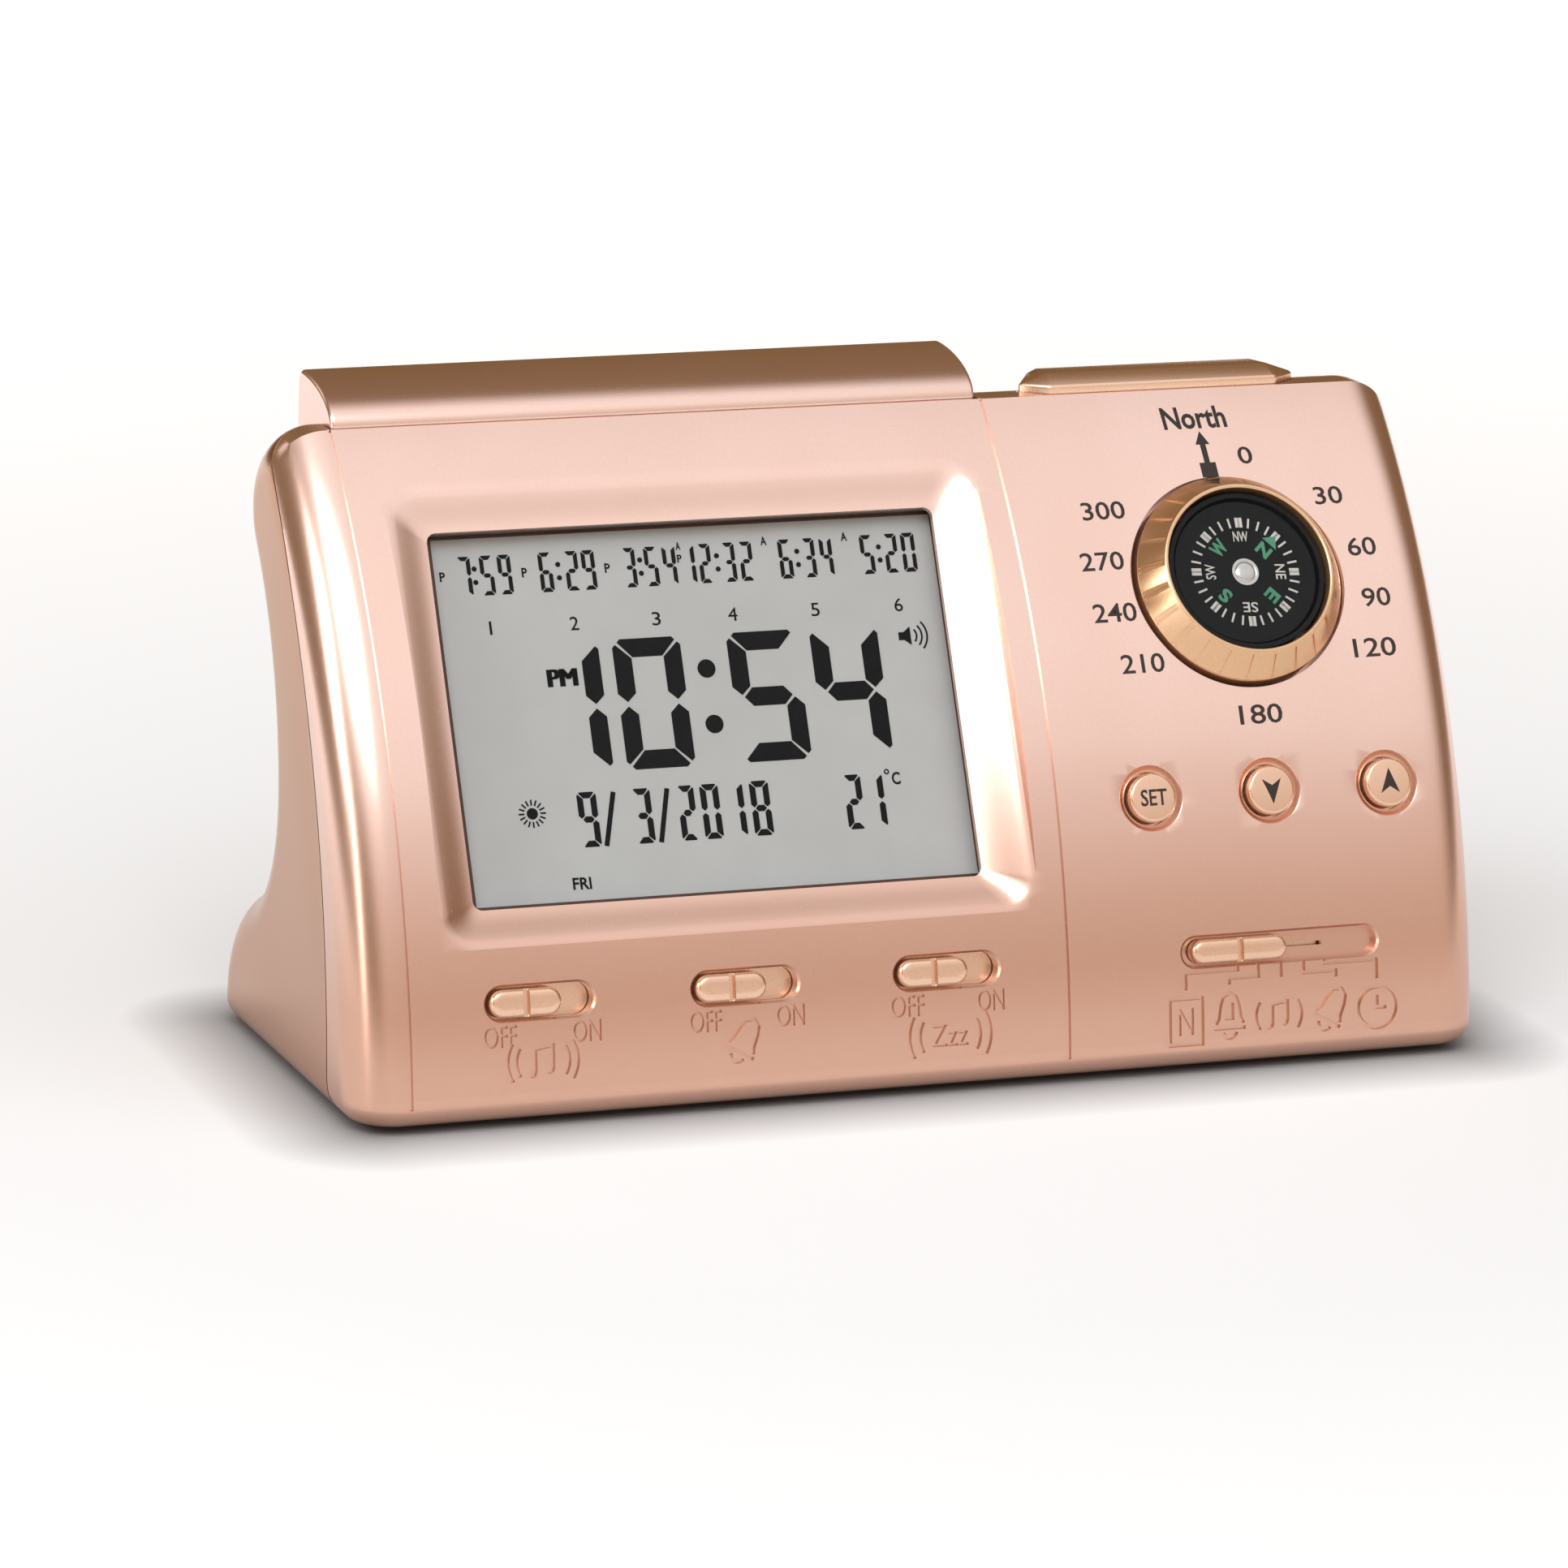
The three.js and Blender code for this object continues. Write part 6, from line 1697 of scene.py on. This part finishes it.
def addFloor():
    floor = solid("studio_floor", [(-4, -4, 0), (4, -4, 0), (4, 4, 0), (-4, 4, 0)], [(0, 1, 2, 3)])
    cloth = Shader("studioFloor")
    grain = cloth.noise(30, 2.0)
    paths = seenBy(cloth)
    place = cloth.node("TexCoord", output=3)
    beyond = cloth.node("VectorMath", {"operation": "SUBTRACT"}, [
        cloth.node("VectorMath", {"operation": "ABSOLUTE"}, [place]), air["footprint"]])
    outside = cloth.node("VectorMath", {"operation": "LENGTH"}, [
        cloth.node("VectorMath", {"operation": "MAXIMUM"}, [beyond, (0, 0, 0)])], 1)
    # painted contact shadow: within shadowWidth of the case's footprint the floor's colour goes to
    # the shadow colour and its lift goes
    pastPaintedShadow = outside.over(0, air["shadowWidth"])
    seen = cloth.blend(pastPaintedShadow, air["shadow"], cloth.blend(
        grain, air["floorSeen"], tuple(c * 0.985 for c in air["floorSeen"])))
    surface = cloth.node("BsdfPrincipled", None, {
        "Base Color": cloth.blend(paths, air["floorBounce"], seen), "Roughness": 0.9,
        "Specular IOR Level": 0.1})
    spot = cloth.node("VectorMath", {"operation": "LENGTH"}, [place], 1)
    lift = cloth.node("Emission", None, {
        "Color": cloth.blend(pastPaintedShadow, (0, 0, 0), cloth.blend(
            spot.over(0.12, 0.9), air["floorLift"], air["farLift"]))})
    dark = cloth.node("Emission", None, {"Color": (0, 0, 0, 1), "Strength": 0.0})
    shown = cloth.node("MixShader", None, {0: paths, 1: dark, 2: lift})
    cloth.output(cloth.node("AddShader", None, [surface, shown]))
    floor.data.materials.append(cloth.material)


def addAir():
    # a studio with a bright ceiling in front and a dim warm wall behind, and a white backdrop
    world = bpy.data.worlds.new("studioAir")
    bpy.context.scene.world = world
    room = Shader("studioAir", world)
    across = room.node("SeparateXYZ", None, [room.node("TexCoord")], 1)
    upward = Link(room, across.socket.node.outputs[2])
    front = room.blend(upward.over(0.1, 0.6), air["frontLow"], air["frontHigh"])
    facing = (upward - across * air["tilt"]).over(0.45, 1.25)
    tone = room.blend(facing, air["behind"], front)
    near = room.node("VectorMath", {"operation": "DOT_PRODUCT"}, [
        room.node("TexCoord"), air["patchAt"]], 1)
    tone = room.blend(near.over(0.80, 0.97), tone, air["patch"])
    room.output(room.node("Background", None, {
        "Color": tone, "Strength": air["strength"]}), "World")


addCamera()
addFloor()
addAir()
addLamp("keyLamp", (-0.45, -0.8, 1.1), (0, 0, 0.04), (0.9, 0.6), 7.5, (1, 0.98, 0.96))
addLamp("leftLamp", (-1.15, -0.2, 0.62), (0, 0, 0.04), (0.32, 0.5), 2.6, (1, 0.98, 0.96))
addLamp("stripeLamp", (-1.1, -0.45, 0.22), (0, 0, 0.04), (0.12, 0.42), 0.8, (1, 0.98, 0.96))
addLamp("backLamp", (-0.7, 0.9, 0.7), (0, 0, 0.04), (0.5, 0.5), 0.6, (1, 0.96, 0.9))
bpy.context.scene.view_settings.view_transform = "Standard"

print("scene ready")
